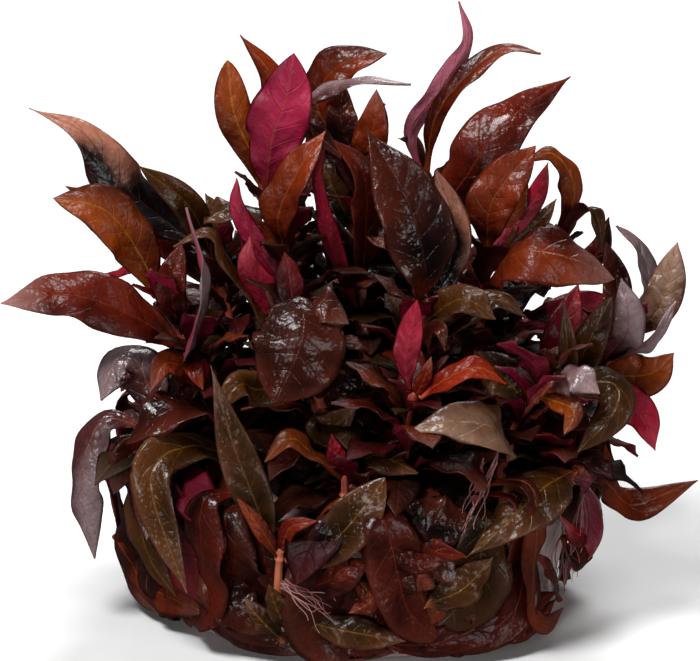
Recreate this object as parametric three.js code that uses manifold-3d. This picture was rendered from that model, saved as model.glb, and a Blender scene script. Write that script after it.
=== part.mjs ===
// A clump of mini alternanthera reineckii grown in a cup of clear gel, standing free of its cup.
// A puck of gel holds the mat of roots. Shoots rise from it with opposite leaves, the outer
// leaves hang over its rim, and the leaves that grew against the cup lie pressed to its wall.
// Millimetres, +Z up. The origin is the middle of the gel's flat underside; the front is -Y.
import * as THREE from "three";
import { mergeVertices } from "three/addons/utils/BufferGeometryUtils.js";
import Module from "manifold-3d";

const wasm = await Module();
wasm.setup();

// Gel puck and the pocket that its roots fill
const GEL_FOOT_RADIUS = 28;
const GEL_RIM_RADIUS = 32;
const GEL_HEIGHT = 20;
const GEL_EDGE_RADIUS = 2.5;
const GEL_WALL = 5;
const GEL_FLOOR = 6;
const GEL_SIDES = 24;
const RIM_FOOT_RADIUS = 29.6;
const RIM_STEM_HEIGHT = 8;
const RIM_STEM_LEAN = 1;
const RIM_OVERHANG = 2.4;
const RIM_CLEARANCE = 1.6;
const RIM_TURN = 0.6;
const RIM_FIRST_LEAF = 0.5;
const RIM_LEAF_STEP = 0.2;
const RIM_FACE_UP = 0.6;
const RIM_CUP = -6;
const WALL_STAND = 1;
const LEAF_LAYER = 1.4;
const LAYER_RISE = 1.5;
const ROOT_LOBES = 9;
const ROOT_LOBE_DEPTH = 1.1;

// Stems and leaves
const GAP = 0.3;
const STEM_RADIUS = 1.1;
const STEM_SIDES = 5;
const STEM_STEPS = 3;
const STEM_RISE = 0.55;
const LEAF_THICKNESS = 0.8;
const LEAF_SIDES = 4;
const LEAF_STATIONS = 9;
const LEAFLET_STATIONS = 4;
const BACK_STATIONS = 3;
const LEAFLET_ROOT = 1.5;
const PETIOLE_HALF_WIDTH = 0.5;
const BASE_TAPER = 1.15;
const TIP_TAPER = 1.15;
const FACE_STEPS = 36;
const FACE_CARRY = 3;

// The clump is laid out as it looks from the front, with the eye raised a little and not far off
const EYE_TILT = THREE.MathUtils.degToRad(17);
const EYE_DISTANCE = 650;
const EYE_RIGHT = -1.4;
const EYE_UP = 38.4;
const MIDDLE_NEAR = 12;

const COLOURS = {
  amber: 0x8a3a14,
  rust: 0x7a2a14,
  wine: 0x5a1716,
  ebony: 0x2a1212,
  olive: 0x4a3216,
  mauve: 0x6e4644,
  tan: 0x8a7448,
  flame: 0xa84018,
  crimson: 0x8e1830,
  gel: 0xd8b8b4,
  root: 0xd6a8a4,
};

const turn = (degrees) => THREE.MathUtils.degToRad(degrees);

// A place given as seen from the front: right of the axis, up in the picture, and how far it
// lies in front of the plant's axis. Nearer things look larger, so they are laid a little closer in.
function seen([right, up, front]) {
  const slope = (up - EYE_UP) / EYE_DISTANCE;
  const reach = front / Math.cos(EYE_TILT) - MIDDLE_NEAR;
  const height = (up - slope * reach) / (1 + slope * Math.tan(EYE_TILT));
  const near = reach + height * Math.tan(EYE_TILT);
  const across = EYE_RIGHT + (right - EYE_RIGHT) * (1 - near / EYE_DISTANCE);
  return new THREE.Vector3(across, -front, (height + front * Math.sin(EYE_TILT)) / Math.cos(EYE_TILT));
}

// A direction given as seen from the front: right, up in the picture, towards the eye.
function facing([right, up, near]) {
  const forward = near * Math.cos(EYE_TILT) - up * Math.sin(EYE_TILT);
  const upward = up * Math.cos(EYE_TILT) + near * Math.sin(EYE_TILT);
  return new THREE.Vector3(right, -forward, upward).normalize();
}

// A place by its bearing round the axis, 0 at the front and 90 on the right, its radius and height.
function around(bearing, radius, height) {
  return new THREE.Vector3(radius * Math.sin(turn(bearing)), -radius * Math.cos(turn(bearing)), height);
}

const gelRadius = (height) =>
  GEL_FOOT_RADIUS + ((GEL_RIM_RADIUS - GEL_FOOT_RADIUS) * height) / GEL_HEIGHT;

const leaf = (name, at, via, tip, wide, tone, bend = {}) => ({
  name, at, via, tip, wide, tone, face: [0, 0, 1], twist: 0, cup: 15, ...bend,
});
const leaflet = (...spec) => leaf(null, ...spec);

// Shoots seen from the front. Each has its foot on the gel by bearing and radius, the top of its
// stem, and its leaves: where each leaves the stem, the places it passes and its tip, its width,
// its colour, the way its upper face looks, its twist, and how far its margins rise.
const FRONT_SHOOTS = [
  {
    name: "shoot_left",
    foot: [-55, 20],
    top: [-29, 42, 7],
    leaves: [
      leaf("leaf_left_long", 0.75, [[-33, 40.6, 12], [-41.5, 43.4, 13]], [-51.3, 42.3, 11], 8, "wine",
        { face: [0, 0.35, 1], twist: 10, cup: 12 }),
      leaf("leaf_left_olive", 1, [[-31.6, 49.4, 8], [-36.6, 55.6, 10]], [-43.8, 57.3, 9], 7.5, "amber",
        { face: [0.15, 0.15, 1], cup: 12 }),
      leaflet(0.8, [[-24.8, 35.4, 19], [-22.4, 44, 20]], [-24.7, 56, 18], 4, "mauve",
        { face: [1, 0, 0.3], twist: 40 }),
      leaflet(0.55, [[-27.2, 33.8, 16]], [-30, 29.6, 19], 4.5, "rust", { cup: 10 }),
      leaflet(0.6, [[-23.6, 33.4, 18]], [-22.4, 29.9, 21], 3.5, "crimson"),
      leaflet(0.85, [[-27, 44, 10]], [-25.4, 50.9, 9], 4.5, "wine"),
      leaflet(0.4, [[-26, 27.2, 19]], [-33.3, 22.2, 20], 8, "mauve", { face: [-0.1, 0.8, 0.8] }),
      leaflet(0.15, [[-24, 21.8, 20], [-29.8, 17, 25]], [-24.7, 0.8, 28], 6, "olive",
        { face: [-0.2, 0.3, 1], twist: 30 }),
    ],
  },
  {
    name: "shoot_left_back",
    foot: [-100, 17],
    top: [-21.5, 50.5, -5],
    leaves: [
      leaf("leaf_left_dark", 1, [[-28.2, 54.2, -2], [-34.6, 59.8, 2], [-39.7, 66.7, 3]],
        [-47.3, 70.2, 2], 8, "ebony", { face: [0.15, 0.5, 1], twist: -40, cup: 10 }),
      leaflet(0.97, [[-24.6, 56.3, 2]], [-31.4, 61.8, 4], 4.4, "olive"),
      leaflet(0.8, [[-30, 53, -6]], [-42, 59, -5], 5, "wine"),
      leaflet(0.9, [[-20.5, 54.5, -6]], [-22.1, 58, -7], 3.5, "olive"),
    ],
  },
  {
    name: "shoot_upper_left",
    foot: [-35, 10],
    top: [-14, 57.5, 2],
    leaves: [
      leaf("leaf_crown_left", 1, [[-15.3, 63.2, 3], [-18, 69.6, 4]], [-18.9, 77, 3], 5.2, "amber",
        { cup: 8, twist: 8 }),
      leaf("leaf_crown_magenta", 1, [[-12.6, 65.6, 6], [-10.6, 71.6, 7]], [-9.4, 78, 6], 8.8, "rust",
        { face: [0.1, -0.1, -1], cup: 8 }),
      leaf("leaf_crown_cup", 0.8, [[-11.5, 55, 9], [-8.6, 61.4, 10]], [-4.9, 66.9, 8], 6, "amber",
        { face: [-0.3, 0.35, 1], cup: 22 }),
      leaflet(0.95, [[-12.3, 67, -4], [-12.4, 74.4, -4]], [-17.1, 80.6, -3], 4.6, "rust",
        { face: [-0.3, 0, 1], twist: 25 }),
      leaflet(0.65, [[-16.9, 54.5, 8]], [-17.6, 60.2, 7], 3, "crimson", { face: [0, 0, -1] }),
      leaflet(0.45, [[-15.4, 46.5, 13]], [-15.7, 51.8, 12], 5, "crimson", { face: [0, 0, -1] }),
      leaflet(0.4, [[-18.2, 47.5, 12], [-21.6, 52.4, 14]], [-26.6, 50.4, 15], 5, "olive",
        { face: [0.2, 0.8, 0.6], cup: -10 }),
    ],
  },
  {
    name: "shoot_upper_middle",
    foot: [10, 4],
    top: [-0.6, 64, -5],
    leaves: [
      leaf("leaf_crown_arch", 1, [[-6, 70.4, -8], [-3.2, 76, -8]], [3.8, 78, -7], 6.4, "rust",
        { face: [-0.2, 0.35, 1], cup: 10 }),
      leaflet(0.92, [[1.9, 67.6, 1]], [2.4, 72.8, 1], 5, "crimson", { cup: 8 }),
      leaflet(0.97, [[-7.9, 69.6, -3], [-1.4, 73.9, -1]], [7.3, 73.6, 1], 3.6, "mauve",
        { face: [0.1, 1, 0.8], cup: -8 }),
      leaflet(1, [[-2.6, 68.6, -7]], [-2.1, 73.6, -9], 4.6, "ebony"),
      leaflet(0.6, [[0.6, 59.5, 8]], [-3.7, 65.6, 9], 5, "mauve", { face: [0.3, 0.3, 1] }),
      leaflet(0.45, [[-5.8, 57.5, 3]], [-5, 64.6, 3], 3, "crimson", { face: [0.5, 0, -1] }),
      leaflet(0.75, [[-5.6, 62.6, -7]], [-7.2, 69, -9], 4.4, "olive"),
    ],
  },
  {
    name: "shoot_centre",
    foot: [28, 13],
    top: [9.6, 42.4, 19],
    leaves: [
      leaf("leaf_centre_dark", 1, [[9.2, 48.2, 21], [6.6, 57, 21]], [0.9, 67.2, 17], 10.2, "ebony",
        { face: [0.2, 0.1, 1], cup: 12 }),
      leaflet(0.85, [[13.6, 51, 15]], [10.9, 61.4, 14], 4.6, "mauve"),
      leaflet(0.9, [[14.6, 42.7, 22]], [19.4, 40, 23], 5, "olive", { face: [0, 0.4, 1] }),
      leaflet(0.75, [[18.4, 42.6, 17]], [23.7, 40.4, 18], 4, "olive", { face: [0, 0.4, 1] }),
      leaflet(0.7, [[11.2, 38.6, 25]], [12.2, 35.4, 27], 3.6, "ebony"),
    ],
  },
  {
    name: "shoot_upper_right",
    foot: [80, 7],
    top: [9.4, 60.5, -6],
    leaves: [
      leaf("leaf_tall_thin", 1, [[7.4, 67, -5], [11.8, 73.2, -4], [15.5, 79.8, -4]],
        [14.1, 85.4, -5], 3.4, "mauve", { face: [-0.4, 0.3, -1], twist: 45 }),
      leaf("leaf_tall_arched", 1, [[10.8, 68.6, -2], [14.8, 74.2, -2], [20.6, 78.5, -3]],
        [25.9, 78, -4], 3.6, "rust", { face: [-0.4, 0.5, 0.9], twist: -40 }),
      leaf("leaf_broad_right", 0.8, [[15.2, 60.4, 3], [20.4, 67.8, 2]], [30.1, 74.7, -3], 9, "wine",
        { face: [-0.15, 0.3, 1], cup: -8 }),
      leaflet(0.97, [[8, 65, -8]], [5.7, 65.8, -3], 2, "olive"),
    ],
  },
  {
    name: "shoot_right_upper",
    foot: [75, 17],
    top: [18.2, 50, 6],
    leaves: [
      leaf("leaf_right_flame", 1, [[19, 57, 10]], [25.1, 64.8, 9], 7, "rust",
        { face: [-0.15, 0, 1], cup: 16 }),
      leaf("leaf_right_broad", 0.85, [[22.6, 49.4, 20], [29.6, 48.8, 21]], [36.3, 45.7, 18], 9,
        "wine", { face: [0, 0.5, 1], cup: -12 }),
      leaflet(0.9, [[21.7, 57, 3]], [22.9, 64, 2], 4.6, "amber"),
      leaflet(1, [[24.6, 56.6, 3]], [26.9, 62.4, 4], 3.2, "crimson", { face: [0, 0, -1] }),
      leaflet(0.97, [[25.4, 53.8, 0]], [28.1, 57.2, -2], 3.4, "olive"),
    ],
  },
  {
    name: "shoot_right_back",
    foot: [112, 19],
    top: [29.4, 50.5, -12],
    leaves: [
      leaflet(1, [[30.4, 58.4, -11], [27.6, 63.6, -10]], [23.6, 62.4, -9], 4.4, "amber",
        { face: [0.4, 0.5, 0.9], cup: -8 }),
      leaflet(0.9, [[31, 54.6, -10], [33.4, 55.4, -8]], [34.6, 50, -7], 4, "olive",
        { face: [0.6, 0.5, 0.6] }),
      leaflet(0.8, [[33.4, 49, -10]], [35.6, 54.6, -11], 3.6, "wine"),
      leaflet(0.6, [[33, 42, -12]], [38.6, 38.6, -12], 4.6, "crimson", { face: [0, 0, -1] }),
    ],
  },
  {
    name: "shoot_right",
    foot: [80, 24],
    top: [39.4, 36.6, 5],
    leaves: [
      leaf("leaf_far_right", 1, [[43, 42.2, 6]], [45.4, 51, 4], 5.4, "rust",
        { face: [0, 0.1, 1], cup: 10 }),
      leaflet(0.85, [[38.2, 39, 11]], [37.4, 45.8, 12], 5.4, "mauve", { face: [0.15, 0, 1] }),
      leaflet(0.7, [[39.6, 27, 9]], [42.2, 21.3, 9], 5.4, "crimson", { face: [0.1, 0, -1] }),
      leaflet(0.97, [[40.9, 44, -1], [39.8, 50, -1]], [36.7, 53.4, -1], 3.8, "mauve",
        { face: [0.8, 0.3, 0.7] }),
      leaflet(0.9, [[36.8, 44, -4]], [35.2, 51, -5], 4.4, "ebony"),
      leaflet(0.8, [[41.5, 37, 9]], [45.2, 42.6, 8], 3, "mauve", { face: [0.8, 0.4, 0.5] }),
      leaflet(0.75, [[41, 32, 5]], [44.9, 35.2, 4], 6.4, "amber", { cup: 5 }),
      leaflet(0.65, [[32.4, 36, 15]], [36, 43.2, 14], 5, "olive"),
      leaflet(0.5, [[28.4, 36, 9]], [31.2, 45, 7], 5.4, "crimson"),
      leaflet(0.5, [[29.6, 34.6, 15]], [29.2, 42.2, 16], 3.2, "olive"),
    ],
  },
  {
    name: "shoot_front",
    foot: [15, 23],
    top: [7.6, 29, 29],
    leaves: [
      leaf("leaf_front_crimson", 1, [[6.6, 34.9, 30]], [8.2, 42.8, 29], 3.8, "crimson",
        { face: [0.1, 0, -1] }),
      leaf("leaf_front_orange", 1, [[12.1, 31.2, 31], [16.6, 33, 31]], [20.9, 30.8, 30], 3.6,
        "flame", { face: [0, 0.6, 1], cup: 10 }),
      leaflet(0.97, [[9.2, 31.6, 30]], [10.2, 34.6, 30], 2, "flame"),
    ],
  },
  {
    name: "shoot_front_right",
    foot: [52, 25],
    top: [27.4, 31, 23],
    leaves: [
      leaf("leaf_front_tan", 0.35, [[19.6, 24.2, 30], [13, 25.4, 33]], [6.5, 23.8, 33], 7.8, "tan",
        { face: [0, 0.45, 1], cup: 3 }),
      leaflet(1, [[31, 31.8, 25]], [34.3, 29.4, 26], 5.4, "mauve", { face: [0, 0.6, 1], cup: -18 }),
      leaflet(1, [[24, 34, 25]], [19.6, 36.6, 24], 5, "rust", { face: [0, 1, -0.4] }),
      leaflet(0.9, [[30.4, 27, 26]], [29.2, 23.6, 27], 3.2, "amber"),
      leaflet(0.95, [[35.6, 31, 20], [36.4, 27, 22]], [31.1, 21, 24], 5.4, "olive",
        { face: [0.3, 0.5, 1], cup: -10 }),
      leaflet(0.8, [[20.6, 31.6, 18]], [16.9, 35.4, 18], 6, "olive"),
    ],
  },
  {
    name: "shoot_centre_low",
    foot: [-15, 16],
    top: [-10.4, 41.4, 22],
    leaves: [
      leaf("leaf_centre_wet", 1, [[-8.7, 43, 25], [-8.4, 37, 30]], [-12.2, 28, 31], 13, "ebony",
        { face: [0.25, 0.5, 1], cup: -20 }),
      leaflet(0.97, [[-5.8, 42, 26]], [-1.6, 39.4, 27], 6, "wine", { face: [0, 0.6, 1], cup: -10 }),
      leaflet(0.6, [[-14.6, 30, 24], [-17.4, 30.6, 27]], [-20.4, 26.6, 28], 5, "olive"),
      leaflet(0.5, [[-5, 24, 22]], [-0.4, 27.6, 23], 5, "olive"),
      leaflet(0.45, [[-3.4, 30, 18]], [1.4, 34, 18], 5.4, "ebony"),
    ],
  },
  {
    name: "shoot_front_low",
    foot: [2, 24],
    top: [-1, 16, 27],
    leaves: [
      leaflet(0.95, [[-6.2, 20, 29], [-10, 22.8, 30]], [-13.6, 19.6, 31], 4, "flame",
        { face: [0.3, 0.8, 0.5] }),
      leaflet(1, [[-3, 19.6, 27]], [-4, 23.6, 27], 3, "crimson"),
      leaflet(0.8, [[1.6, 20.4, 28]], [8.3, 18, 29], 5.4, "olive", { face: [0, 0.8, 0.8], cup: -10 }),
      leaflet(0.7, [[6.4, 11.6, 30], [9.6, 7.4, 32]], [15.4, 6, 32], 5, "mauve", { twist: 30 }),
    ],
  },
  {
    name: "shoot_low_right",
    foot: [68, 28],
    top: [31.6, 18.6, 18],
    leaves: [
      leaf("leaf_low_right", 1, [[26.2, 15.8, 26], [20.6, 10.4, 30]], [15.1, 5.9, 31], 8.6, "olive",
        { face: [0.1, 0.5, 1], cup: -10 }),
      leaflet(0.95, [[34.8, 17, 9], [39, 13.4, 1]], [48.3, 17, -3], 5.6, "rust",
        { face: [0, 0.3, 1], cup: 5 }),
      leaflet(0.95, [[32.6, 12, 15]], [31.6, 4.4, 13], 5, "mauve", { face: [0.2, 0, -1], cup: -25 }),
      leaflet(0.9, [[34.6, 18.6, 10]], [35, 22.4, 6], 4.6, "rust", { face: [1, 0.2, 0.6] }),
    ],
  },
  {
    name: "shoot_left_low",
    foot: [-68, 27],
    top: [-29, 24.6, 14],
    leaves: [
      leaf("leaf_left_hanging", 1, [[-36.6, 25.4, 14], [-39.6, 17, 14]], [-37.9, 5.8, 13], 5.8,
        "mauve", { face: [-0.6, 0.1, 1], cup: -18 }),
      leaflet(0.97, [[-31.4, 33, 12], [-34.6, 34, 12]], [-37, 28.4, 14], 7.4, "mauve",
        { face: [-0.5, 0.6, 0.9], cup: -15 }),
      leaflet(0.9, [[-33, 20.4, 18]], [-35.2, 15, 18], 4.6, "ebony"),
      leaflet(0.7, [[-24, 15, 25]], [-17.6, 9, 29], 7, "crimson", { face: [0, 0, -1] }),
    ],
  },
  {
    name: "shoot_front_left",
    foot: [-21, 31.6],
    footHeight: 9,
    top: [-11.4, 7, 31],
    leaves: [
      leaf("leaf_low_left_tall", 1, [[-14.2, 12, 33], [-18, 22, 34]], [-21.3, 33.4, 32], 5.6,
        "olive", { face: [0, 0.1, 1], cup: 6, twist: 10 }),
      leaf("leaf_low_front", 0.85, [[-5, 7.2, 34], [0, 12.4, 35]], [3.6, 17.4, 34], 7, "olive",
        { face: [0.1, 0.35, 1], cup: 6 }),
      leaflet(1, [[-14.4, 10.4, 34]], [-17.8, 14.9, 34], 2.4, "flame"),
      leaflet(1, [[-10, 10.2, 33]], [-6.2, 11.2, 34], 2.4, "flame"),
    ],
  },
];

// Leaves that grew against the cup hang over the rim and lie along the gel's wall. Each shoot has
// its bearing, and each leaf the bearings and heights that it passes on the wall.
const hanging = (path, wide, tone) => ({ path, wide, tone });
const RIM_SHOOTS = [
  {
    bearing: -90,
    leaves: [
      hanging([[-98, 9], [-104, 2.5]], 8, "olive"),
      hanging([[-84, 10], [-74, 4.4], [-60, 2.6]], 7.5, "ebony"),
      hanging([[-92, 14], [-94, 7]], 6, "rust"),
    ],
  },
  {
    bearing: -58,
    leaves: [
      hanging([[-64, 9], [-54, 2.4]], 9, "ebony"),
      hanging([[-46, 14], [-40, 6.5]], 9.5, "crimson"),
      hanging([[-57, 14], [-51, 7.5]], 6.5, "olive"),
    ],
  },
  {
    bearing: -33,
    leaves: [
      hanging([[-32, 8], [-20, 2.4]], 10.5, "ebony"),
      hanging([[-40, 9], [-50, 3]], 9, "wine"),
    ],
  },
  {
    bearing: -4,
    leaves: [
      hanging([[-10, 6], [6, 2.4]], 10, "ebony"),
      hanging([[11, 10], [22, 3.4]], 8.5, "wine"),
    ],
  },
  {
    bearing: 33,
    leaves: [
      hanging([[28, 11], [16, 3.4]], 10.5, "olive"),
      hanging([[42, 9], [34, 4.4], [16, 2.6]], 6.5, "wine"),
      hanging([[44, 8.5], [51, 3.4], [63, 3.4]], 5, "rust"),
    ],
  },
  {
    bearing: 92,
    leaves: [
      hanging([[88, 9], [84, 3]], 7, "wine"),
      hanging([[98, 9], [104, 2.5]], 8, "olive"),
    ],
  },
];
const BACK_RIM = {
  count: 5, from: 118, to: 242, turn: 9, turnSpread: 3, low: 2.4, lowSpread: 7, drop: 6, sway: 6, wide: 6.5,
  wideSpread: 2,
};

// Shoots of the back half follow one rule: two rings of stems, the inner ring taller.
const BACK_RINGS = [
  { name: "back_outer", count: 5, from: 122, to: 238, foot: 24, lean: 30, height: 38, low: 0.45, pairs: 3 },
  { name: "back_inner", count: 4, from: 130, to: 232, foot: 10, lean: 15, height: 51, low: 0.8, pairs: 2 },
];
// How the leaves of those shoots turn, rise, droop and vary: each is a least or middle value and
// how far it spreads, in degrees and millimetres. The outward ones are longer and droop more.
const BACK_LEAF = {
  pairTurn: 90, sway: 50, slope: 28, slopeRise: 30, outwardSlope: -8, droop: 40, droopSpread: 50,
  outwardDroop: 25, length: 14, lengthSpread: 7, outwardLength: 0.25, faceOut: 0.35, wide: 6.6,
  wideSpread: 2.4, twistSpread: 60, cupSpread: 24, cupMiddle: 0.4,
};
const STEM_VARY = 0.2;
const STEM_SWAY = 16;
const BACK_TONES = ["rust", "olive", "wine", "mauve", "ebony", "amber", "crimson"];

// A fraction that is spread evenly as either count goes up, so that no two shoots look alike.
const spread = (first, second) => (first * 0.618034 + second * 0.414214) % 1;

// Half the width of a leaf along its length, drawn in to its stalk and to its pointed tip.
function halfWidth(wide, along) {
  const widest = BASE_TAPER / (BASE_TAPER + TIP_TAPER);
  const blade = (along / widest) ** BASE_TAPER * ((1 - along) / (1 - widest)) ** TIP_TAPER;
  return Math.max(PETIOLE_HALF_WIDTH * (1 - along), (wide / 2) * blade);
}

// The way a leaf's upper face looks at even steps along it, worked back from its tip. Where the
// leaf runs straight at the side its face should look to, the face carries on as it was.
function faceNormals(path, { face, twist }) {
  const normals = [];
  let carried = new THREE.Vector3();
  for (let step = FACE_STEPS; step >= 0; step -= 1) {
    const along = step / FACE_STEPS;
    const tangent = path.getTangentAt(along);
    const aim = carried.multiplyScalar(FACE_CARRY).add(face);
    carried = aim.addScaledVector(tangent, -aim.dot(tangent)).normalize();
    normals[step] = carried.clone().applyAxisAngle(tangent, turn(twist) * (along - 0.5));
  }
  return normals;
}

// The facets between a leaf's rings. Its underside is split along the same diagonals as its upper
// face, so that a thin twisted blade doesn't pass through itself.
function leafFacets(stations) {
  const facets = [];
  for (let ring = 0; ring < stations; ring += 1) {
    for (let side = 0; side < LEAF_SIDES; side += 1) {
      const b = ring * (LEAF_SIDES + 1) + side;
      const c = b + LEAF_SIDES + 1;
      facets.push(...(side < LEAF_SIDES / 2 ? [b + 1, b, c + 1, b, c, c + 1] : [b + 1, b, c, b + 1, c, c + 1]));
    }
  }
  return facets;
}

// One leaf as a thin solid: a sphere whose every vertex is laid on the blade. grow adds the
// clearance that its neighbours keep.
function leafSolid(spec, stations, grow = 0) {
  const path = new THREE.CatmullRomCurve3(spec.points, false, "catmullrom", 0.5);
  const geometry = new THREE.SphereGeometry(1, LEAF_SIDES, stations).setIndex(leafFacets(stations));
  const place = geometry.getAttribute("position");
  const normals = faceNormals(path, spec);
  for (let ring = 0; ring <= stations; ring += 1) {
    const along = ring / stations;
    const tangent = path.getTangentAt(along);
    const centre = path.getPointAt(along);
    if (ring === 0) centre.addScaledVector(tangent, -grow);
    if (ring === stations) centre.addScaledVector(tangent, grow);
    const normal = normals[(ring * FACE_STEPS) / stations];
    const across = new THREE.Vector3().crossVectors(normal, tangent);
    const end = ring === 0 || ring === stations;
    const half = end ? 0 : halfWidth(spec.wide, along) + grow;
    const thick = end ? 0 : LEAF_THICKNESS / 2 + grow;
    for (let side = 0; side <= LEAF_SIDES; side += 1) {
      const angle = (side / LEAF_SIDES) * 2 * Math.PI;
      const out = -Math.cos(angle) * half;
      const lift = Math.abs(out) * Math.tan(turn(spec.cup)) + Math.sin(angle) * thick;
      const at = centre.clone().addScaledVector(across, out).addScaledVector(normal, lift);
      place.setXYZ(ring * (LEAF_SIDES + 1) + side, at.x, at.y, at.z);
    }
  }
  return solidOf(geometry);
}

// A closed three.js geometry as a manifold solid.
function solidOf(geometry) {
  geometry.deleteAttribute("normal");
  geometry.deleteAttribute("uv");
  const merged = mergeVertices(geometry, 1e-4);
  const corners = Array.from(merged.index.array);
  const triVerts = [];
  for (let i = 0; i < corners.length; i += 3) {
    const [a, b, c] = corners.slice(i, i + 3);
    if (a !== b && b !== c && c !== a) triVerts.push(a, b, c);
  }
  return new wasm.Manifold(
    new wasm.Mesh({
      numProp: 3,
      vertProperties: merged.getAttribute("position").array,
      triVerts: new Uint32Array(triVerts),
    }),
  );
}

// A stem's line: straight up out of the gel, then leaning to its top.
function stemLine(foot, top) {
  const bend = foot.clone().setZ(foot.z + STEM_RISE * (top.z - foot.z));
  return new THREE.QuadraticBezierCurve3(foot, bend, top);
}

function stemSolid(line, radius) {
  const section = new THREE.Shape();
  for (let side = 0; side < STEM_SIDES; side += 1) {
    const angle = (side / STEM_SIDES) * 2 * Math.PI;
    section[side ? "lineTo" : "moveTo"](radius * Math.cos(angle), radius * Math.sin(angle));
  }
  section.closePath();
  return solidOf(
    new THREE.ExtrudeGeometry(section, { steps: STEM_STEPS, extrudePath: line, bevelEnabled: false }),
  );
}

// Where a leaf leaves its stem: on the stem's surface, or a little down its axis if the two are
// one solid.
function leafBase(line, at, towards, own) {
  const centre = line.getPointAt(at);
  const tangent = line.getTangentAt(at);
  if (!own) return centre.addScaledVector(tangent, -LEAFLET_ROOT);
  const out = towards.clone().sub(centre);
  out.addScaledVector(tangent, -out.dot(tangent)).normalize();
  return centre.addScaledVector(out, STEM_RADIUS);
}

// The front shoots' leaves as points in the plant's own frame.
function frontShoot(shoot) {
  const foot = around(shoot.foot[0], shoot.foot[1], shoot.footHeight ?? GEL_HEIGHT + GAP);
  const line = stemLine(foot, seen(shoot.top));
  const leaves = shoot.leaves.map((spec) => {
    const rest = [...spec.via, spec.tip].map(seen);
    const base = leafBase(line, spec.at, rest[0], spec.name !== null);
    return { ...spec, points: [base, ...rest], face: facing(spec.face) };
  });
  return { name: shoot.name, line, leaves, stations: LEAFLET_STATIONS };
}

// A leaf of the back half: it leaves its stem on a bearing at a slope, and droops along its length.
function droopingLeaf(base, bearing, slope, length, droop) {
  const points = [base];
  const steps = 2;
  let place = base.clone();
  for (let step = 0; step < steps; step += 1) {
    const angle = turn(slope - (droop * (step + 0.5)) / steps);
    const stride = length / steps;
    place = place.clone().add(around(bearing, stride * Math.cos(angle), stride * Math.sin(angle)));
    points.push(place);
  }
  return points;
}

// Back shoot number index of a ring: pairs of opposite leaves, each pair turned from the last.
function backShoot(ring, index, seed) {
  const bearing = ring.from + ((ring.to - ring.from) * index) / (ring.count - 1);
  const vary = (number) => 1 + STEM_VARY * (spread(seed, number) - 0.5);
  const foot = around(bearing, ring.foot * vary(2), GEL_HEIGHT + GAP);
  const top = around(bearing + STEM_SWAY * (spread(seed, 3) - 0.5), ring.lean, ring.height * vary(1));
  const line = stemLine(foot, top);
  const leaves = [];
  for (let pair = 0; pair < ring.pairs; pair += 1) {
    const at = ring.low + ((1 - ring.low) * pair) / (ring.pairs - 1);
    for (let side = 0; side < 2; side += 1) {
      const number = 2 * pair + side;
      const sway = BACK_LEAF.sway * (spread(seed, number) - 0.5);
      const heading = bearing + BACK_LEAF.pairTurn * pair + 180 * side + sway;
      const outward = Math.cos(turn(heading - bearing));
      const rise = BACK_LEAF.slopeRise * (pair / ring.pairs);
      const slope = BACK_LEAF.slope + rise + BACK_LEAF.outwardSlope * outward;
      const sag = BACK_LEAF.droopSpread * spread(seed, number + 5);
      const droop = BACK_LEAF.droop + sag + BACK_LEAF.outwardDroop * outward;
      const reach = BACK_LEAF.length + BACK_LEAF.lengthSpread * spread(seed, number + 9);
      const length = reach * (1 + BACK_LEAF.outwardLength * outward);
      const base = leafBase(line, at, null, false);
      const points = droopingLeaf(base, heading, slope, length, droop);
      leaves.push({
        name: null,
        points,
        face: around(heading, BACK_LEAF.faceOut, 1).normalize(),
        wide: BACK_LEAF.wide + BACK_LEAF.wideSpread * spread(seed, number + 3),
        twist: BACK_LEAF.twistSpread * (spread(seed, number + 7) - 0.5),
        cup: BACK_LEAF.cupSpread * (spread(seed, number + 4) - BACK_LEAF.cupMiddle),
        tone: BACK_TONES[(seed * 3 + number) % BACK_TONES.length],
      });
    }
  }
  return { name: `shoot_${ring.name}_${index + 1}`, line, leaves, stations: BACK_STATIONS };
}

// A shoot of the rim: a short stem, with leaves that go over the rim and down the wall.
function rimShoot({ bearing, leaves }, index) {
  const foot = around(bearing, RIM_FOOT_RADIUS, GEL_HEIGHT + GAP);
  const top = around(bearing, RIM_FOOT_RADIUS + RIM_STEM_LEAN, GEL_HEIGHT + RIM_STEM_HEIGHT);
  const line = stemLine(foot, top);
  const blades = leaves.map(({ path, wide, tone }, number) => {
    const layer = LEAF_LAYER * number;
    const crossing = bearing + RIM_TURN * (path[0][0] - bearing);
    const over = around(crossing, GEL_RIM_RADIUS + RIM_OVERHANG + layer,
      GEL_HEIGHT + RIM_CLEARANCE + LAYER_RISE * layer);
    const base = leafBase(line, RIM_FIRST_LEAF + RIM_LEAF_STEP * number, over, false);
    const down = path.map(([heading, height], step) => {
      const stand = step === path.length - 1 ? WALL_STAND : 2 * WALL_STAND;
      return around(heading, gelRadius(height) + stand + layer, height);
    });
    const face = around(path[0][0], 1, RIM_FACE_UP).normalize();
    return { name: null, points: [base, over, ...down], wide, tone, face, twist: 0, cup: RIM_CUP };
  });
  return { name: `shoot_rim_${index + 1}`, line, leaves: blades, stations: LEAFLET_STATIONS };
}

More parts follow.
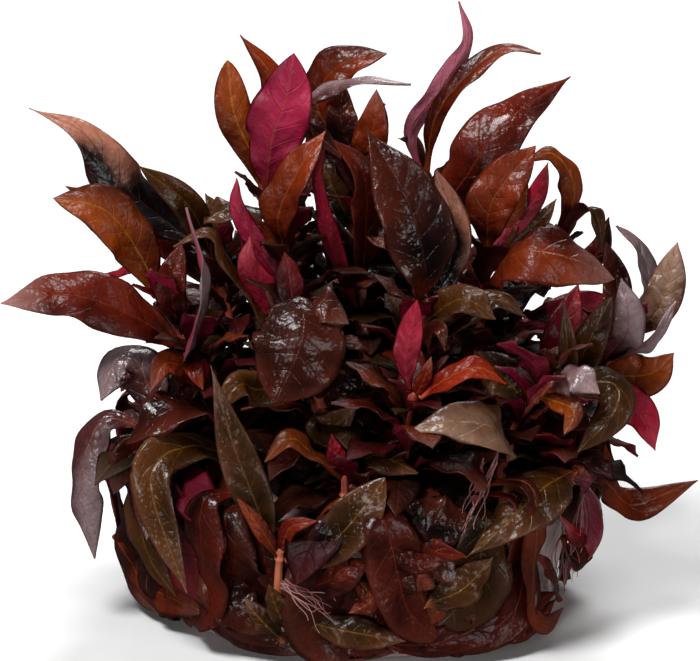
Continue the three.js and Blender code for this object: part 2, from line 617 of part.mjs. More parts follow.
// The rim shoots of the back half follow one rule: three leaves spread to both sides.
function backRim() {
  return Array.from({ length: BACK_RIM.count }, (_, index) => {
    const bearing = BACK_RIM.from + ((BACK_RIM.to - BACK_RIM.from) * index) / (BACK_RIM.count - 1);
    const leaves = [-1, 0, 1].map((side, number) => {
      const heading = bearing + side * (BACK_RIM.turn + BACK_RIM.turnSpread * spread(index, number));
      const low = BACK_RIM.low + BACK_RIM.lowSpread * spread(index, number + 3);
      const wide = BACK_RIM.wide + BACK_RIM.wideSpread * spread(index, number + 6);
      const tone = BACK_TONES[(3 * index + 2 * number) % BACK_TONES.length];
      return hanging([[heading, low + BACK_RIM.drop], [heading + BACK_RIM.sway * side, low]], wide, tone);
    });
    return { bearing, leaves };
  });
}

// The gel puck: rounded at its foot, straight up its wall, with the pocket that the roots fill.
function gelGeometry() {
  const profile = new THREE.Path();
  profile.moveTo(0, 0);
  profile.lineTo(GEL_FOOT_RADIUS - GEL_EDGE_RADIUS, 0);
  profile.absarc(GEL_FOOT_RADIUS - GEL_EDGE_RADIUS, GEL_EDGE_RADIUS, GEL_EDGE_RADIUS, -Math.PI / 2, 0, false);
  profile.lineTo(GEL_RIM_RADIUS, GEL_HEIGHT);
  profile.lineTo(GEL_RIM_RADIUS - GEL_WALL, GEL_HEIGHT);
  profile.lineTo(GEL_FOOT_RADIUS - GEL_WALL, GEL_FLOOR);
  profile.lineTo(0, GEL_FLOOR);
  const points = profile.getPoints(2);
  return new THREE.LatheGeometry(points, GEL_SIDES).rotateX(Math.PI / 2);
}

// The mat of roots: a lobed plug that fills the pocket from its floor to the stems' feet.
function rootGeometry() {
  const profile = [
    new THREE.Vector2(0, GEL_FLOOR + GAP),
    new THREE.Vector2(GEL_FOOT_RADIUS - GEL_WALL - 2 * GAP, GEL_FLOOR + GAP),
    new THREE.Vector2(GEL_RIM_RADIUS - GEL_WALL - 2 * GAP, GEL_HEIGHT - GAP),
    new THREE.Vector2(0, GEL_HEIGHT - GAP),
  ];
  const geometry = new THREE.LatheGeometry(profile, 2 * ROOT_LOBES).rotateX(Math.PI / 2);
  const place = geometry.getAttribute("position");
  for (let i = 0; i < place.count; i += 1) {
    const [x, y] = [place.getX(i), place.getY(i)];
    const radius = Math.hypot(x, y);
    const valley = (1 - Math.cos(ROOT_LOBES * Math.atan2(y, x))) / 2;
    const shrink = radius > 1 ? 1 - (ROOT_LOBE_DEPTH * valley) / radius : 1;
    place.setXY(i, x * shrink, y * shrink);
  }
  return geometry;
}

// The largest body of a solid, which is what is left of a leaf after its neighbours' clearance.
function largest(solid) {
  return solid.decompose().sort((a, b) => b.volume() - a.volume())[0];
}

function apart(a, b) {
  const [boxA, boxB] = [a.boundingBox(), b.boundingBox()];
  return [0, 1, 2].some((i) => boxA.min[i] > boxB.max[i] || boxB.min[i] > boxA.max[i]);
}

// Every piece that has its place, each with the clearance that later pieces keep from it.
const placed = [];

function keepClear(solid, ownStem = null) {
  let left = solid;
  placed.forEach(({ clearance, owner }) => {
    if (owner !== ownStem && !apart(left, clearance)) left = left.subtract(clearance);
  });
  return left.isEmpty() ? left : largest(left);
}

function meshOf(name, solid, tone) {
  const { vertProperties, triVerts } = solid.getMesh();
  const geometry = new THREE.BufferGeometry()
    .setAttribute("position", new THREE.BufferAttribute(new Float32Array(vertProperties), 3))
    .setIndex(new THREE.BufferAttribute(triVerts, 1));
  geometry.computeVertexNormals();
  const material = new THREE.MeshStandardMaterial({ color: COLOURS[tone], roughness: 0.35, metalness: 0 });
  const mesh = new THREE.Mesh(geometry, material);
  mesh.name = name;
  return mesh;
}

function buildPlant() {
  const plant = new THREE.Group();
  const gel = solidOf(gelGeometry());
  const roots = solidOf(rootGeometry());
  plant.add(meshOf("gel_puck", gel, "gel"), meshOf("root_mat", roots, "root"));

  const shoots = [...FRONT_SHOOTS.map(frontShoot), ...[...RIM_SHOOTS, ...backRim()].map(rimShoot)];
  let seed = 0;
  BACK_RINGS.forEach((ring) => {
    for (let index = 0; index < ring.count; index += 1) {
      seed += 1;
      shoots.push(backShoot(ring, index, seed));
    }
  });

  const gelBlock = solidOf(new THREE.LatheGeometry([
    new THREE.Vector2(0, -1),
    new THREE.Vector2(GEL_FOOT_RADIUS + GAP, -1),
    new THREE.Vector2(GEL_RIM_RADIUS + GAP, GEL_HEIGHT + GAP / 2),
    new THREE.Vector2(0, GEL_HEIGHT + GAP / 2),
  ], GEL_SIDES).rotateX(Math.PI / 2));
  placed.push({ clearance: gelBlock, owner: "gel" });

  shoots.forEach((shoot) => {
    shoot.stem = keepClear(stemSolid(shoot.line, STEM_RADIUS));
    placed.push({ clearance: stemSolid(shoot.line, STEM_RADIUS + GAP), owner: shoot.name });
  });

  shoots.flatMap(({ leaves }) => leaves.filter(({ name }) => name)).forEach((spec) => {
    const solid = keepClear(leafSolid(spec, LEAF_STATIONS));
    plant.add(meshOf(spec.name, solid, spec.tone));
    placed.push({ clearance: leafSolid(spec, LEAF_STATIONS, GAP), owner: spec.name });
  });

  shoots.forEach((shoot) => {
    let whole = shoot.stem;
    shoot.leaves.filter(({ name }) => !name).forEach((spec) => {
      const solid = keepClear(leafSolid(spec, shoot.stations), shoot.name);
      whole = whole.add(solid);
      placed.push({ clearance: leafSolid(spec, shoot.stations, GAP), owner: shoot.name });
    });
    plant.add(meshOf(shoot.name, largest(whole), "wine"));
  });
  return plant;
}

export default buildPlant();
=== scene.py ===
"""A clump of mini alternanthera reineckii in its puck of clear gel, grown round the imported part.

Laid out as an add-on: each operator grows one group of like pieces. The tables and formulas are
those of the part, in millimetres; meshes are in metres. The front is -Y and up is +Z.
"""

import math
import random
from functools import partialmethod

import bpy
from bpy.props import FloatProperty, FloatVectorProperty, IntProperty, PointerProperty
from mathutils import Matrix, Vector


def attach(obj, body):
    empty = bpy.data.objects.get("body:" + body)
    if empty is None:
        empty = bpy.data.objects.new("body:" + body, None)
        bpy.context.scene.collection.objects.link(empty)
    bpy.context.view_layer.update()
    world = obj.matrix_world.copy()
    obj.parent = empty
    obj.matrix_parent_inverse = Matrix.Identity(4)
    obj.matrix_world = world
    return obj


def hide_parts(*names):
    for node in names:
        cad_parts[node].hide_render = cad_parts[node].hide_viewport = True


bl_info = {
    "name": "Mini alternanthera clump",
    "version": (1, 0, 0),
    "blender": (4, 5, 0),
    "location": "3D View > Sidebar > Clump",
    "description": "Grows a clump of mini alternanthera reineckii with its gel, roots, stems and leaves",
    "category": "Object",
}

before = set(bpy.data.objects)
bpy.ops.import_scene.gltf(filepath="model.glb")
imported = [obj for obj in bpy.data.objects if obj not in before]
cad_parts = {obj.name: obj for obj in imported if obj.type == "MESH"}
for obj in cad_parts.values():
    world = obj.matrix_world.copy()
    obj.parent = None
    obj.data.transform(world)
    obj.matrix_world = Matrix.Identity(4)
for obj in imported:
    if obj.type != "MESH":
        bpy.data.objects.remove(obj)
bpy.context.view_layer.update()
MM = 0.001

# Gel puck
GEL_FOOT_RADIUS = 28
GEL_RIM_RADIUS = 32
GEL_HEIGHT = 20
GEL_EDGE_RADIUS = 2.5

# Shoots of the rim, whose leaves go over it and down the wall, each layer further out
RIM_FOOT_RADIUS = 29.6
RIM_STEM_HEIGHT = 8
RIM_STEM_LEAN = 1
RIM_OVERHANG = 2.4
RIM_CLEARANCE = 1.6
RIM_TURN = 0.6
RIM_FIRST_LEAF = 0.5
RIM_LEAF_STEP = 0.2
RIM_FACE_UP = 0.6
RIM_CUP = -6
WALL_STAND = 1
LEAF_LAYER = 1.4
LAYER_RISE = 1.5

# Stems and leaves
GAP = 0.3
STEM_RADIUS = 1.1
STEM_RISE = 0.55
LEAFLET_ROOT = 1.5
PETIOLE_HALF_WIDTH = 0.5
BASE_TAPER = 1.15
TIP_TAPER = 1.0
TIP_SPREAD = 0.3

# The steps along a leaf, how far each step's face is carried on to the next, and the least half width
STEPS = 36
FACE_CARRY = 3
LEAST_HALF = 0.07

# The height at which a stem leaves the gel
ON_GEL = GEL_HEIGHT + GAP

# The eye in front of the clump, raised a little and not far off
EYE_TILT = math.radians(17)
EYE_DISTANCE = 650
EYE_RIGHT = -1.4
EYE_UP = 38.4
MIDDLE_NEAR = 12
VIEW_WIDTH = 100

# Every finish, in the order that the growth tree numbers them
FINISHES = ["amber", "rust", "wine", "ebony", "dusk", "olive", "mauve", "tan", "flame", "crimson", "umber",
            "maroon", "moss", "blush", "stem", "root"]


def leaf(name, at, places, wide, tone, face=(0, 0, 1), twist=0, cup=15, worn=0.0, **look):
    """A leaf of the front. Its look can hold another tone than its slot's, how much it narrows to its tip,
    how wet it is, which shows in its highlights, and how far its tip is paler, which is partly a painted
    sheen."""
    return {"name": name, "at": at, "places": places, "wide": wide, "tone": tone, "face": face,
            "twist": twist, "cup": cup, "worn": worn, **look}


def leaflet(*spec, **bend):
    """A smaller leaf of the front, which is one piece with its stem."""
    return leaf(None, *spec, **bend)


def shoot(name, foot, top, leaves, foot_height=ON_GEL):
    """A shoot of the front. A young one leaves the gel's wall below its rim."""
    return {"name": name, "foot": [*foot, foot_height], "top": top, "leaves": leaves,
            "young": foot_height < ON_GEL}


# Shoots seen from the front. Each has its foot on the gel by bearing and radius, the top of its
# stem, and its leaves: where each leaves the stem, the places it passes and its tip, its width,
# its colour, the way its upper face looks, its twist, and how far its margins rise.
FRONT_SHOOTS = [
    shoot("shoot_left", [-55, 20], [-29, 42, 7], leaves=[
        leaf("leaf_left_long", 0.75, [[-33, 40.6, 12], [-41.5, 43.4, 13], [-51.3, 42.3, 11]], 8, "wine",
             face=[0, 0.35, 1], twist=10, cup=12, taper=1.1, wet=0.05, pale=1.0),
        leaf("leaf_left_olive", 1, [[-31.6, 49.4, 8], [-36.6, 55.6, 10], [-43.8, 57.3, 9]], 7.5, "amber",
             face=[0.15, 0.15, 1], cup=12, wet=0.1),
        leaflet(0.8, [[-24.8, 35.4, 19], [-22.4, 44, 20], [-24.7, 56, 18]], 4, "mauve", face=[1, 0, 0.3],
                twist=40),
        leaflet(0.55, [[-27.2, 33.8, 16], [-30, 29.6, 19]], 4.5, "rust", cup=10, worn=0.7),
        leaflet(0.6, [[-23.6, 33.4, 18], [-22.4, 29.9, 21]], 3.5, "flame", worn=0.4),
        leaflet(0.85, [[-27, 44, 10], [-25.4, 50.9, 9]], 4.5, "wine"),
        leaflet(0.4, [[-26, 27.2, 19], [-33.3, 22.2, 20]], 8, "ebony", face=[-0.1, 0.8, 0.8], wet=0.9),
        leaflet(0.15, [[-24, 21.8, 20], [-29.8, 17, 25], [-24.7, 0.8, 28]], 6, "olive", face=[-0.2, 0.3, 1],
                twist=30),
    ]),
    shoot("shoot_left_back", [-100, 17], [-21.5, 50.5, -5], leaves=[
        # Its tone darkens to near black towards the base, which is a painted shade, and its light tip is
        # partly a painted sheen.
        leaf("leaf_left_dark", 1, [[-28.2, 54.2, -2], [-34.6, 59.8, 2], [-39.7, 66.7, 3], [-47.3, 70.2, 2]],
             8, "ebony", face=[0.15, 0.5, 1], twist=-40, cup=10, look="dusk", taper=1.6, wet=0.25,
             pale=0.3),
        leaflet(0.97, [[-24.6, 56.3, 2], [-31.4, 61.8, 4]], 4.4, "olive"),
        leaflet(0.8, [[-30, 53, -6], [-42, 59, -5]], 5, "wine"),
        leaflet(0.9, [[-20.5, 54.5, -6], [-22.1, 58, -7]], 3.5, "olive"),
    ]),
    shoot("shoot_upper_left", [-35, 10], [-14, 57.5, 2], leaves=[
        leaf("leaf_crown_left", 1, [[-15.3, 63.2, 3], [-18, 69.6, 4], [-18.9, 77, 3]], 5.2, "amber", cup=8,
             twist=8, taper=0.72, wet=0.3),
        leaf("leaf_crown_magenta", 1, [[-12.6, 65.6, 6], [-10.6, 71.6, 7], [-9.4, 78, 6]], 8.8, "rust",
             face=[0.1, -0.1, -1], cup=8, taper=0.9, wet=0.05),
        leaf("leaf_crown_cup", 0.8, [[-11.5, 55, 9], [-8.6, 61.4, 10], [-4.9, 66.9, 8]], 6, "amber",
             face=[-0.3, 0.35, 1], cup=22, look="rust", wet=0.4),
        leaflet(0.95, [[-12.3, 67, -4], [-12.4, 74.4, -4], [-17.1, 80.6, -3]], 4.6, "rust",
                face=[-0.3, 0, 1], twist=25),
        leaflet(0.65, [[-16.9, 54.5, 8], [-17.6, 60.2, 7]], 3, "rust", face=[0, 0, -1]),
        leaflet(0.45, [[-15.4, 46.5, 13], [-15.7, 51.8, 12]], 5, "crimson", face=[0, 0, -1]),
        leaflet(0.4, [[-18.2, 47.5, 12], [-21.6, 52.4, 14], [-26.6, 50.4, 15]], 5, "olive",
                face=[0.2, 0.8, 0.6], cup=-10),
    ]),
    shoot("shoot_upper_middle", [10, 4], [-0.6, 64, -5], leaves=[
        leaf("leaf_crown_arch", 1, [[-6, 70.4, -8], [-3.2, 76, -8], [3.8, 78, -7]], 6.4, "rust",
             face=[-0.2, 0.35, 1], cup=10, wet=0.0),
        leaflet(0.92, [[1.9, 67.6, 1], [2.4, 72.8, 1]], 5, "rust", cup=8),
        leaflet(0.97, [[-7.9, 69.6, -3], [-1.4, 73.9, -1], [7.3, 73.6, 1]], 3.6, "mauve",
                face=[0.1, 1, 0.8], cup=-8),
        leaflet(1, [[-2.6, 68.6, -7], [-2.1, 73.6, -9]], 4.6, "ebony"),
        leaflet(0.6, [[0.6, 59.5, 8], [-3.7, 65.6, 9]], 5, "wine", face=[0.3, 0.3, 1]),
        leaflet(0.45, [[-5.8, 57.5, 3], [-5, 64.6, 3]], 3, "crimson", face=[0.5, 0, -1]),
        leaflet(0.75, [[-5.6, 62.6, -7], [-7.2, 69, -9]], 4.4, "olive"),
    ]),
    shoot("shoot_centre", [28, 13], [9.6, 42.4, 19], leaves=[
        leaf("leaf_centre_dark", 1, [[9.2, 48.2, 21], [6.6, 57, 21], [0.9, 67.2, 17]], 10.2, "ebony",
             face=[0.2, 0.1, 1], cup=12, taper=1.35, wet=0.5),
        leaflet(0.85, [[13.6, 51, 15], [10.9, 61.4, 14]], 4.6, "dusk"),
        leaflet(0.9, [[14.6, 42.7, 22], [19.4, 40, 23]], 5, "olive", face=[0, 0.4, 1]),
        leaflet(0.75, [[18.4, 42.6, 17], [23.7, 40.4, 18]], 4, "olive", face=[0, 0.4, 1]),
        leaflet(0.7, [[11.2, 38.6, 25], [12.2, 35.4, 27]], 3.6, "ebony"),
    ]),
    shoot("shoot_upper_right", [80, 7], [9.4, 60.5, -6], leaves=[
        leaf("leaf_tall_thin", 1, [[7.4, 67, -5], [11.8, 73.2, -4], [15.5, 79.8, -4], [14.1, 85.4, -5]],
             3.4, "mauve", face=[-0.4, 0.3, -1], twist=45, look="blush", wet=0.2),
        leaf("leaf_tall_arched", 1, [[10.8, 68.6, -2], [14.8, 74.2, -2], [20.6, 78.5, -3], [25.9, 78, -4]],
             3.6, "rust", face=[-0.4, 0.5, 0.9], twist=-40, wet=0.1, pale=0.4),
        leaf("leaf_broad_right", 0.8, [[15.2, 60.4, 3], [20.4, 67.8, 2], [30.1, 74.7, -3]], 9, "wine",
             face=[-0.15, 0.3, 1], cup=-8, taper=1.3, wet=0.7),
        leaflet(0.97, [[8, 65, -8], [5.7, 65.8, -3]], 2, "olive"),
    ]),
    shoot("shoot_right_upper", [75, 17], [18.2, 50, 6], leaves=[
        leaf("leaf_right_flame", 1, [[19, 57, 10], [25.1, 64.8, 9]], 7, "rust", face=[-0.15, 0, 1], cup=16,
             wet=0.12),
        leaf("leaf_right_broad", 0.85, [[22.6, 49.4, 20], [29.6, 48.8, 21], [36.3, 45.7, 18]], 9, "wine",
             face=[0, 0.5, 1], cup=-12, look="rust", taper=0.85, wet=0.5, pale=0.8),
        leaflet(0.9, [[21.7, 57, 3], [22.9, 64, 2]], 4.6, "amber"),
        leaflet(1, [[24.6, 56.6, 3], [26.9, 62.4, 4]], 3.2, "crimson", face=[0, 0, -1]),
        leaflet(0.97, [[25.4, 53.8, 0], [28.1, 57.2, -2]], 3.4, "olive"),
    ]),
    shoot("shoot_right_back", [112, 19], [29.4, 50.5, -12], leaves=[
        leaflet(1, [[30.4, 58.4, -11], [27.6, 63.6, -10], [23.6, 62.4, -9]], 4.4, "amber",
                face=[0.4, 0.5, 0.9], cup=-8),
        leaflet(0.9, [[31, 54.6, -10], [33.4, 55.4, -8], [34.6, 50, -7]], 4, "olive", face=[0.6, 0.5, 0.6]),
        leaflet(0.8, [[33.4, 49, -10], [35.6, 54.6, -11]], 3.6, "wine"),
        leaflet(0.6, [[33, 42, -12], [38.6, 38.6, -12]], 4.6, "crimson", face=[0, 0, -1]),
    ]),
    shoot("shoot_right", [80, 24], [39.4, 36.6, 5], leaves=[
        leaf("leaf_far_right", 1, [[43, 42.2, 6], [45.4, 51, 4]], 5.4, "rust", face=[0, 0.1, 1], cup=10,
             look="tan", wet=0.25, pale=0.6),
        leaflet(0.85, [[38.2, 39, 11], [37.4, 45.8, 12]], 5.4, "mauve", face=[0.15, 0, 1]),
        leaflet(0.7, [[39.6, 27, 9], [42.2, 21.3, 9]], 5.4, "crimson", face=[0.1, 0, -1]),
        leaflet(0.97, [[40.9, 44, -1], [39.8, 50, -1], [36.7, 53.4, -1]], 3.8, "mauve",
                face=[0.8, 0.3, 0.7]),
        leaflet(0.9, [[36.8, 44, -4], [35.2, 51, -5]], 4.4, "ebony"),
        leaflet(0.8, [[41.5, 37, 9], [45.2, 42.6, 8]], 3, "mauve", face=[0.8, 0.4, 0.5]),
        leaflet(0.75, [[41, 32, 5], [44.9, 35.2, 4]], 6.4, "amber", cup=5),
        leaflet(0.65, [[32.4, 36, 15], [36, 43.2, 14]], 5, "olive"),
        leaflet(0.5, [[28.4, 36, 9], [31.2, 45, 7]], 5.4, "crimson"),
        leaflet(0.5, [[29.6, 34.6, 15], [29.2, 42.2, 16]], 3.2, "olive"),
    ]),
    shoot("shoot_front", [15, 23], [7.6, 29, 29], leaves=[
        leaf("leaf_front_crimson", 1, [[6.6, 34.9, 30], [8.2, 42.8, 29]], 3.8, "crimson", face=[0.1, 0, -1],
             wet=0.1),
        leaf("leaf_front_orange", 1, [[12.1, 31.2, 31], [16.6, 33, 31], [20.9, 30.8, 30]], 3.6, "flame",
             face=[0, 0.6, 1], cup=10, wet=0.15),
        leaflet(0.97, [[9.2, 31.6, 30], [10.2, 34.6, 30]], 2, "flame"),
    ]),
    shoot("shoot_front_right", [52, 25], [27.4, 31, 23], leaves=[
        leaf("leaf_front_tan", 0.35, [[19.6, 24.2, 30], [13, 25.4, 33], [6.5, 23.8, 33]], 7.8, "tan",
             face=[0, 0.45, 1], cup=3, taper=1.25, wet=0.35),
        leaflet(1, [[31, 31.8, 25], [34.3, 29.4, 26]], 5.4, "mauve", face=[0, 0.6, 1], cup=-18),
        leaflet(1, [[24, 34, 25], [19.6, 36.6, 24]], 5, "wine", face=[0, 1, -0.4], worn=0.5),
        leaflet(0.9, [[30.4, 27, 26], [29.2, 23.6, 27]], 3.2, "amber"),
        leaflet(0.95, [[35.6, 31, 20], [36.4, 27, 22], [31.1, 21, 24]], 5.4, "olive", face=[0.3, 0.5, 1],
                cup=-10),
        leaflet(0.8, [[20.6, 31.6, 18], [16.9, 35.4, 18]], 6, "olive"),
    ]),
    shoot("shoot_centre_low", [-15, 16], [-10.4, 41.4, 22], leaves=[
        leaf("leaf_centre_wet", 1, [[-8.7, 43, 25], [-8.4, 37, 30], [-12.2, 28, 31]], 13, "ebony",
             face=[0.25, 0.5, 1], cup=-20, taper=0.8, wet=0.8),
        leaflet(0.97, [[-5.8, 42, 26], [-1.6, 39.4, 27]], 6, "ebony", face=[0, 0.6, 1], cup=-10),
        leaflet(0.6, [[-14.6, 30, 24], [-17.4, 30.6, 27], [-20.4, 26.6, 28]], 5, "olive"),
        leaflet(0.5, [[-5, 24, 22], [-0.4, 27.6, 23]], 5, "olive"),
        leaflet(0.45, [[-3.4, 30, 18], [1.4, 34, 18]], 5.4, "ebony"),
    ]),
    shoot("shoot_front_low", [2, 24], [-1, 16, 27], leaves=[
        leaflet(0.95, [[-6.2, 20, 29], [-10, 22.8, 30], [-13.6, 19.6, 31]], 4, "amber",
                face=[0.3, 0.8, 0.5], worn=0.4),
        leaflet(1, [[-3, 19.6, 27], [-4, 23.6, 27]], 3, "crimson"),
        leaflet(0.8, [[1.6, 20.4, 28], [8.3, 18, 29]], 5.4, "olive", face=[0, 0.8, 0.8], cup=-10),
        leaflet(0.7, [[6.4, 11.6, 30], [9.6, 7.4, 32], [15.4, 6, 32]], 5, "wine", twist=30),
    ]),
    shoot("shoot_low_right", [68, 28], [31.6, 18.6, 18], leaves=[
        leaf("leaf_low_right", 1, [[26.2, 15.8, 26], [20.6, 10.4, 30], [15.1, 5.9, 31]], 8.6, "olive",
             face=[0.1, 0.5, 1], cup=-10, taper=1.6, wet=0.6),
        leaflet(0.95, [[34.8, 17, 9], [39, 13.4, 1], [48.3, 17, -3]], 5.6, "rust", face=[0, 0.3, 1], cup=5),
        leaflet(0.95, [[32.6, 12, 15], [31.6, 4.4, 13]], 5, "mauve", face=[0.2, 0, -1], cup=-25),
        leaflet(0.9, [[34.6, 18.6, 10], [35, 22.4, 6]], 4.6, "rust", face=[1, 0.2, 0.6]),
    ]),
    shoot("shoot_left_low", [-68, 27], [-29, 24.6, 14], leaves=[
        leaf("leaf_left_hanging", 1, [[-36.6, 25.4, 14], [-39.6, 17, 14], [-37.9, 5.8, 13]], 5.8, "mauve",
             face=[-0.6, 0.1, 1], cup=-18, wet=0.8),
        leaflet(0.97, [[-31.4, 33, 12], [-34.6, 34, 12], [-37, 28.4, 14]], 7.4, "mauve",
                face=[-0.5, 0.6, 0.9], cup=-15),
        leaflet(0.9, [[-33, 20.4, 18], [-35.2, 15, 18]], 4.6, "ebony"),
        leaflet(0.7, [[-24, 15, 25], [-17.6, 9, 29]], 7, "maroon", face=[0, 0, -1], worn=0.8),
    ]),
    shoot("shoot_front_left", [-21, 31.6], [-11.4, 7, 31], foot_height=9, leaves=[
        leaf("leaf_low_left_tall", 1, [[-14.2, 12, 33], [-18, 22, 34], [-21.3, 33.4, 32]], 5.6, "olive",
             face=[0, 0.1, 1], cup=6, twist=10, taper=1.5, wet=0.4, pale=0.4),
        leaf("leaf_low_front", 0.85, [[-5, 7.2, 34], [0, 12.4, 35], [3.6, 17.4, 34]], 7, "olive",
             face=[0.1, 0.35, 1], cup=6, taper=0.85, wet=0.6),
        leaflet(1, [[-14.4, 10.4, 34], [-17.8, 14.9, 34]], 2.4, "rust", worn=0.4),
        leaflet(1, [[-10, 10.2, 33], [-6.2, 11.2, 34]], 2.4, "flame"),
    ]),
]

# Shoots of the rim in front, by their bearing. Each leaf has the places that it passes on its way
# down the wall, by bearing and height, its width and its tone.
RIM_SHOOTS = {
    -90: [([[-98, 9], [-104, 2.5]], 8, "olive"), ([[-84, 10], [-74, 4.4], [-60, 2.6]], 7.5, "ebony"),
          ([[-92, 14], [-94, 7]], 6, "rust")],
    -58: [([[-64, 9], [-54, 2.4]], 9, "ebony"), ([[-46, 14], [-40, 6.5]], 9.5, "crimson"),
          ([[-57, 14], [-51, 7.5]], 6.5, "olive")],
    -33: [([[-32, 8], [-20, 2.4]], 10.5, "ebony"), ([[-40, 9], [-50, 3]], 9, "wine")],
    -4: [([[-10, 6], [6, 2.4]], 10, "ebony"), ([[11, 10], [22, 3.4]], 8.5, "wine")],
    33: [([[28, 11], [16, 3.4]], 10.5, "olive"), ([[42, 9], [34, 4.4], [16, 2.6]], 6.5, "wine"),
         ([[44, 8.5], [51, 3.4], [63, 3.4]], 5, "rust")],
    92: [([[88, 9], [84, 3]], 7, "wine"), ([[98, 9], [104, 2.5]], 8, "olive")],
}

# The rim of the back half follows one rule: shoots between two bearings, how far their leaves turn
# away, how low they reach and how wide they are.
BACK_RIM = {
    "count": 5, "from": 118, "to": 242, "turn": 9, "turn_spread": 3, "low": 2.4, "low_spread": 7,
    "drop": 6, "sway": 6, "wide": 6.5, "wide_spread": 2,
}

# Shoots of the back half follow one rule: two rings of stems, the inner ring taller, with the same
# kind of leaf in opposite pairs.
BACK_RINGS = [
    {"name": "back_outer", "count": 5, "from": 122, "to": 238, "foot": 24, "lean": 30, "height": 38,
     "low": 0.45, "pairs": 3},
    {"name": "back_inner", "count": 4, "from": 130, "to": 232, "foot": 10, "lean": 15, "height": 51,
     "low": 0.8, "pairs": 2},
]
BACK_LEAF = {
    "pair_turn": 90, "sway": 50, "slope": 28, "slope_rise": 30, "outward_slope": -8, "droop": 40,
    "droop_spread": 50, "outward_droop": 25, "length": 14, "length_spread": 7, "outward_length": 0.25,
    "face_out": 0.35, "wide": 6.6, "wide_spread": 2.4, "twist_spread": 60, "cup_spread": 24,
    "cup_middle": 0.4,
}

# Leaves that lie round the foot of the clump in front, over the ones pressed on the gel's wall: the
# places that they pass as they are seen, right and up, how far they stand off the wall, their width
# and their tone.
BED_LEAVES = [
    ([[-35, 9], [-30, 2], [-22, -2]], 3, 5.6, "rust"),
    ([[-21, 5.5], [-18.5, -0.5], [-14, -5]], 3.4, 7.4, "ebony"),
    ([[-11, -6], [-13.5, -3.5], [-16.5, 0]], 4, 3.4, "olive"),
    ([[-9.5, -5], [-11.5, -2], [-13, 2]], 3.8, 3.6, "olive"),
    ([[-8.5, -3], [-2, -4.5], [6.5, -6]], 3.8, 4.8, "olive"),
    ([[1, -6], [10, -6.5], [20, -3], [28, 1]], 3, 5.4, "wine"),
    ([[17, -6], [24.5, -4], [28, 0]], 3.2, 4, "wine"),
    ([[28.5, 0], [27.5, 4], [24.5, 7]], 2.4, 2.6, "wine"),
    ([[9, -1], [14.5, 1.5], [19, 6]], 3.6, 5.8, "olive"),
    ([[5, -1], [6.5, 1.5], [7.5, 3.5]], 3.6, 3.6, "ebony"),
    ([[-8.5, 1], [-3.5, 3], [1.5, 5.5]], 3.6, 5, "wine"),
    ([[29, 9], [31, 5.5], [34, 10]], 4.6, 3.6, "wine"),
    ([[33, 14], [31.5, 9], [28.5, 12]], 4.4, 3.6, "crimson"),
    ([[28.5, 18.5], [32.5, 17], [34, 21]], 4, 3.4, "blush"),
    ([[-1, 3.5], [1.5, 0], [-1.5, -2]], 3.6, 3.6, "rust"),
    ([[4.5, 8.5], [7, 5.5], [11.5, 5]], 4.2, 3.2, "wine"),
    ([[-14.5, 13], [-13.5, 6.5], [-12, 0]], 0.9, 8, "ebony"),
    ([[6, 14], [11, 11.5], [16.5, 10]], 1.8, 7, "ebony"),
    ([[9, 9], [13, 5.5], [19, 4]], 1.6, 7, "ebony"),
    ([[-24, -2], [-16, -6], [-7, -7.6]], 1.4, 4.4, "ebony"),
    ([[-13, -6.4], [-4, -8], [5, -7.6]], 1.2, 4, "wine"),
]

# Roots that leave the lowest stems in the open: from where and to where as they are seen, how far
# their starts and their ends spread, and how many they are.
ROOT_TUFTS = [
    ([-10.6, 2.4, 34.6], [-5.4, -1.6, 34.4], 0.8, 2.2, 11),
    ([19, 20, 26], [15.6, 11, 30.4], 1.4, 1.6, 9),
    ([32.5, 21.5, 10], [30.5, 15, 17], 1.8, 1.6, 14),
    ([31, 16.5, 15], [29, 3, 16.6], 1.6, 2.4, 14),
]

# Small leaves pressed on the gel's wall: the heights of their rows and their tones.
WALL_ROWS = (17, 11, 6)
WALL_TONES = ("ebony", "wine", "ebony", "olive", "wine", "rust")
WALL_SEED = 17

# What each of them draws between two bounds: how far it strays along its row and from it, how far it
# turns round the wall and drops, how far it lifts off and curls out, its width, its twist, how far its
# margins rise, and how wet it is.
WALL_LEAF = {
    "stray": (-0.35, 0.35), "rise": (-2.5, 2.5), "turn": (14, 34), "drop": (2, 8), "lift": (0.2, 1),
    "curl": (-0.2, 0.6), "wide": (5.5, 9), "twist": (-16, 16), "cup": (-16, 4), "wet": (0.15, 0.55),
}

# The bearings between which the gel shows bare, above a height
WINDOW_FROM = 50
WINDOW_TO = 80
WINDOW_FOOT = 8

# Where the young shoot leaves the gel's wall, which the leaves pressed on it keep clear of
FORK_BEARING = -21
FORK_WIDTH = 6
FORK_FOOT = 5

# How high the leaves round the foot stay above the ground, at their ends and by their width
FOOT_CLEARANCE = 1.0
MARGIN_ROOM = 0.55

# How the leaves round the foot in front twist, cup and glisten
BED_TWIST = 30
BED_CUP = -14
BED_WET = 0.35

# Roots in the gel and tufts of roots outside it
ROOT_SEED = 41
ROOT_STEPS = 26
ROOT_STRIDE = 1.25
ROOT_SPREAD = 29
ROOT_DEPTH = 0.9
TUFT_STEPS = 12
TUFT_SWAY = 1.3

# Stems: how they narrow to their tops, how thick they are between leaves, and how they swell at them
STEM_TAPER = 0.35
STEM_SLIM = 0.68
NODE_SWELL = 0.32
NODE_LENGTH = 0.03

# The numbers from which the looks of the shoots of the rim and of the back half are drawn
RIM_SEED = 30
BACK_SEED = 60

# How far the stems of the back half vary in height and in bearing
STEM_VARY = 0.2
STEM_SWAY = 16
BACK_TONES = ["rust", "olive", "wine", "mauve", "ebony", "amber", "crimson"]

# Small leaves that fill the inside of the clump, by shoot. Their tones are mostly duller, darker copies of
# the outer ones, a painted shade for the inside of the clump.
INNER_TONES = ["umber", "maroon", "moss", "umber", "rust", "maroon", "wine"]
GOLDEN_ANGLE = 137.508


# Places

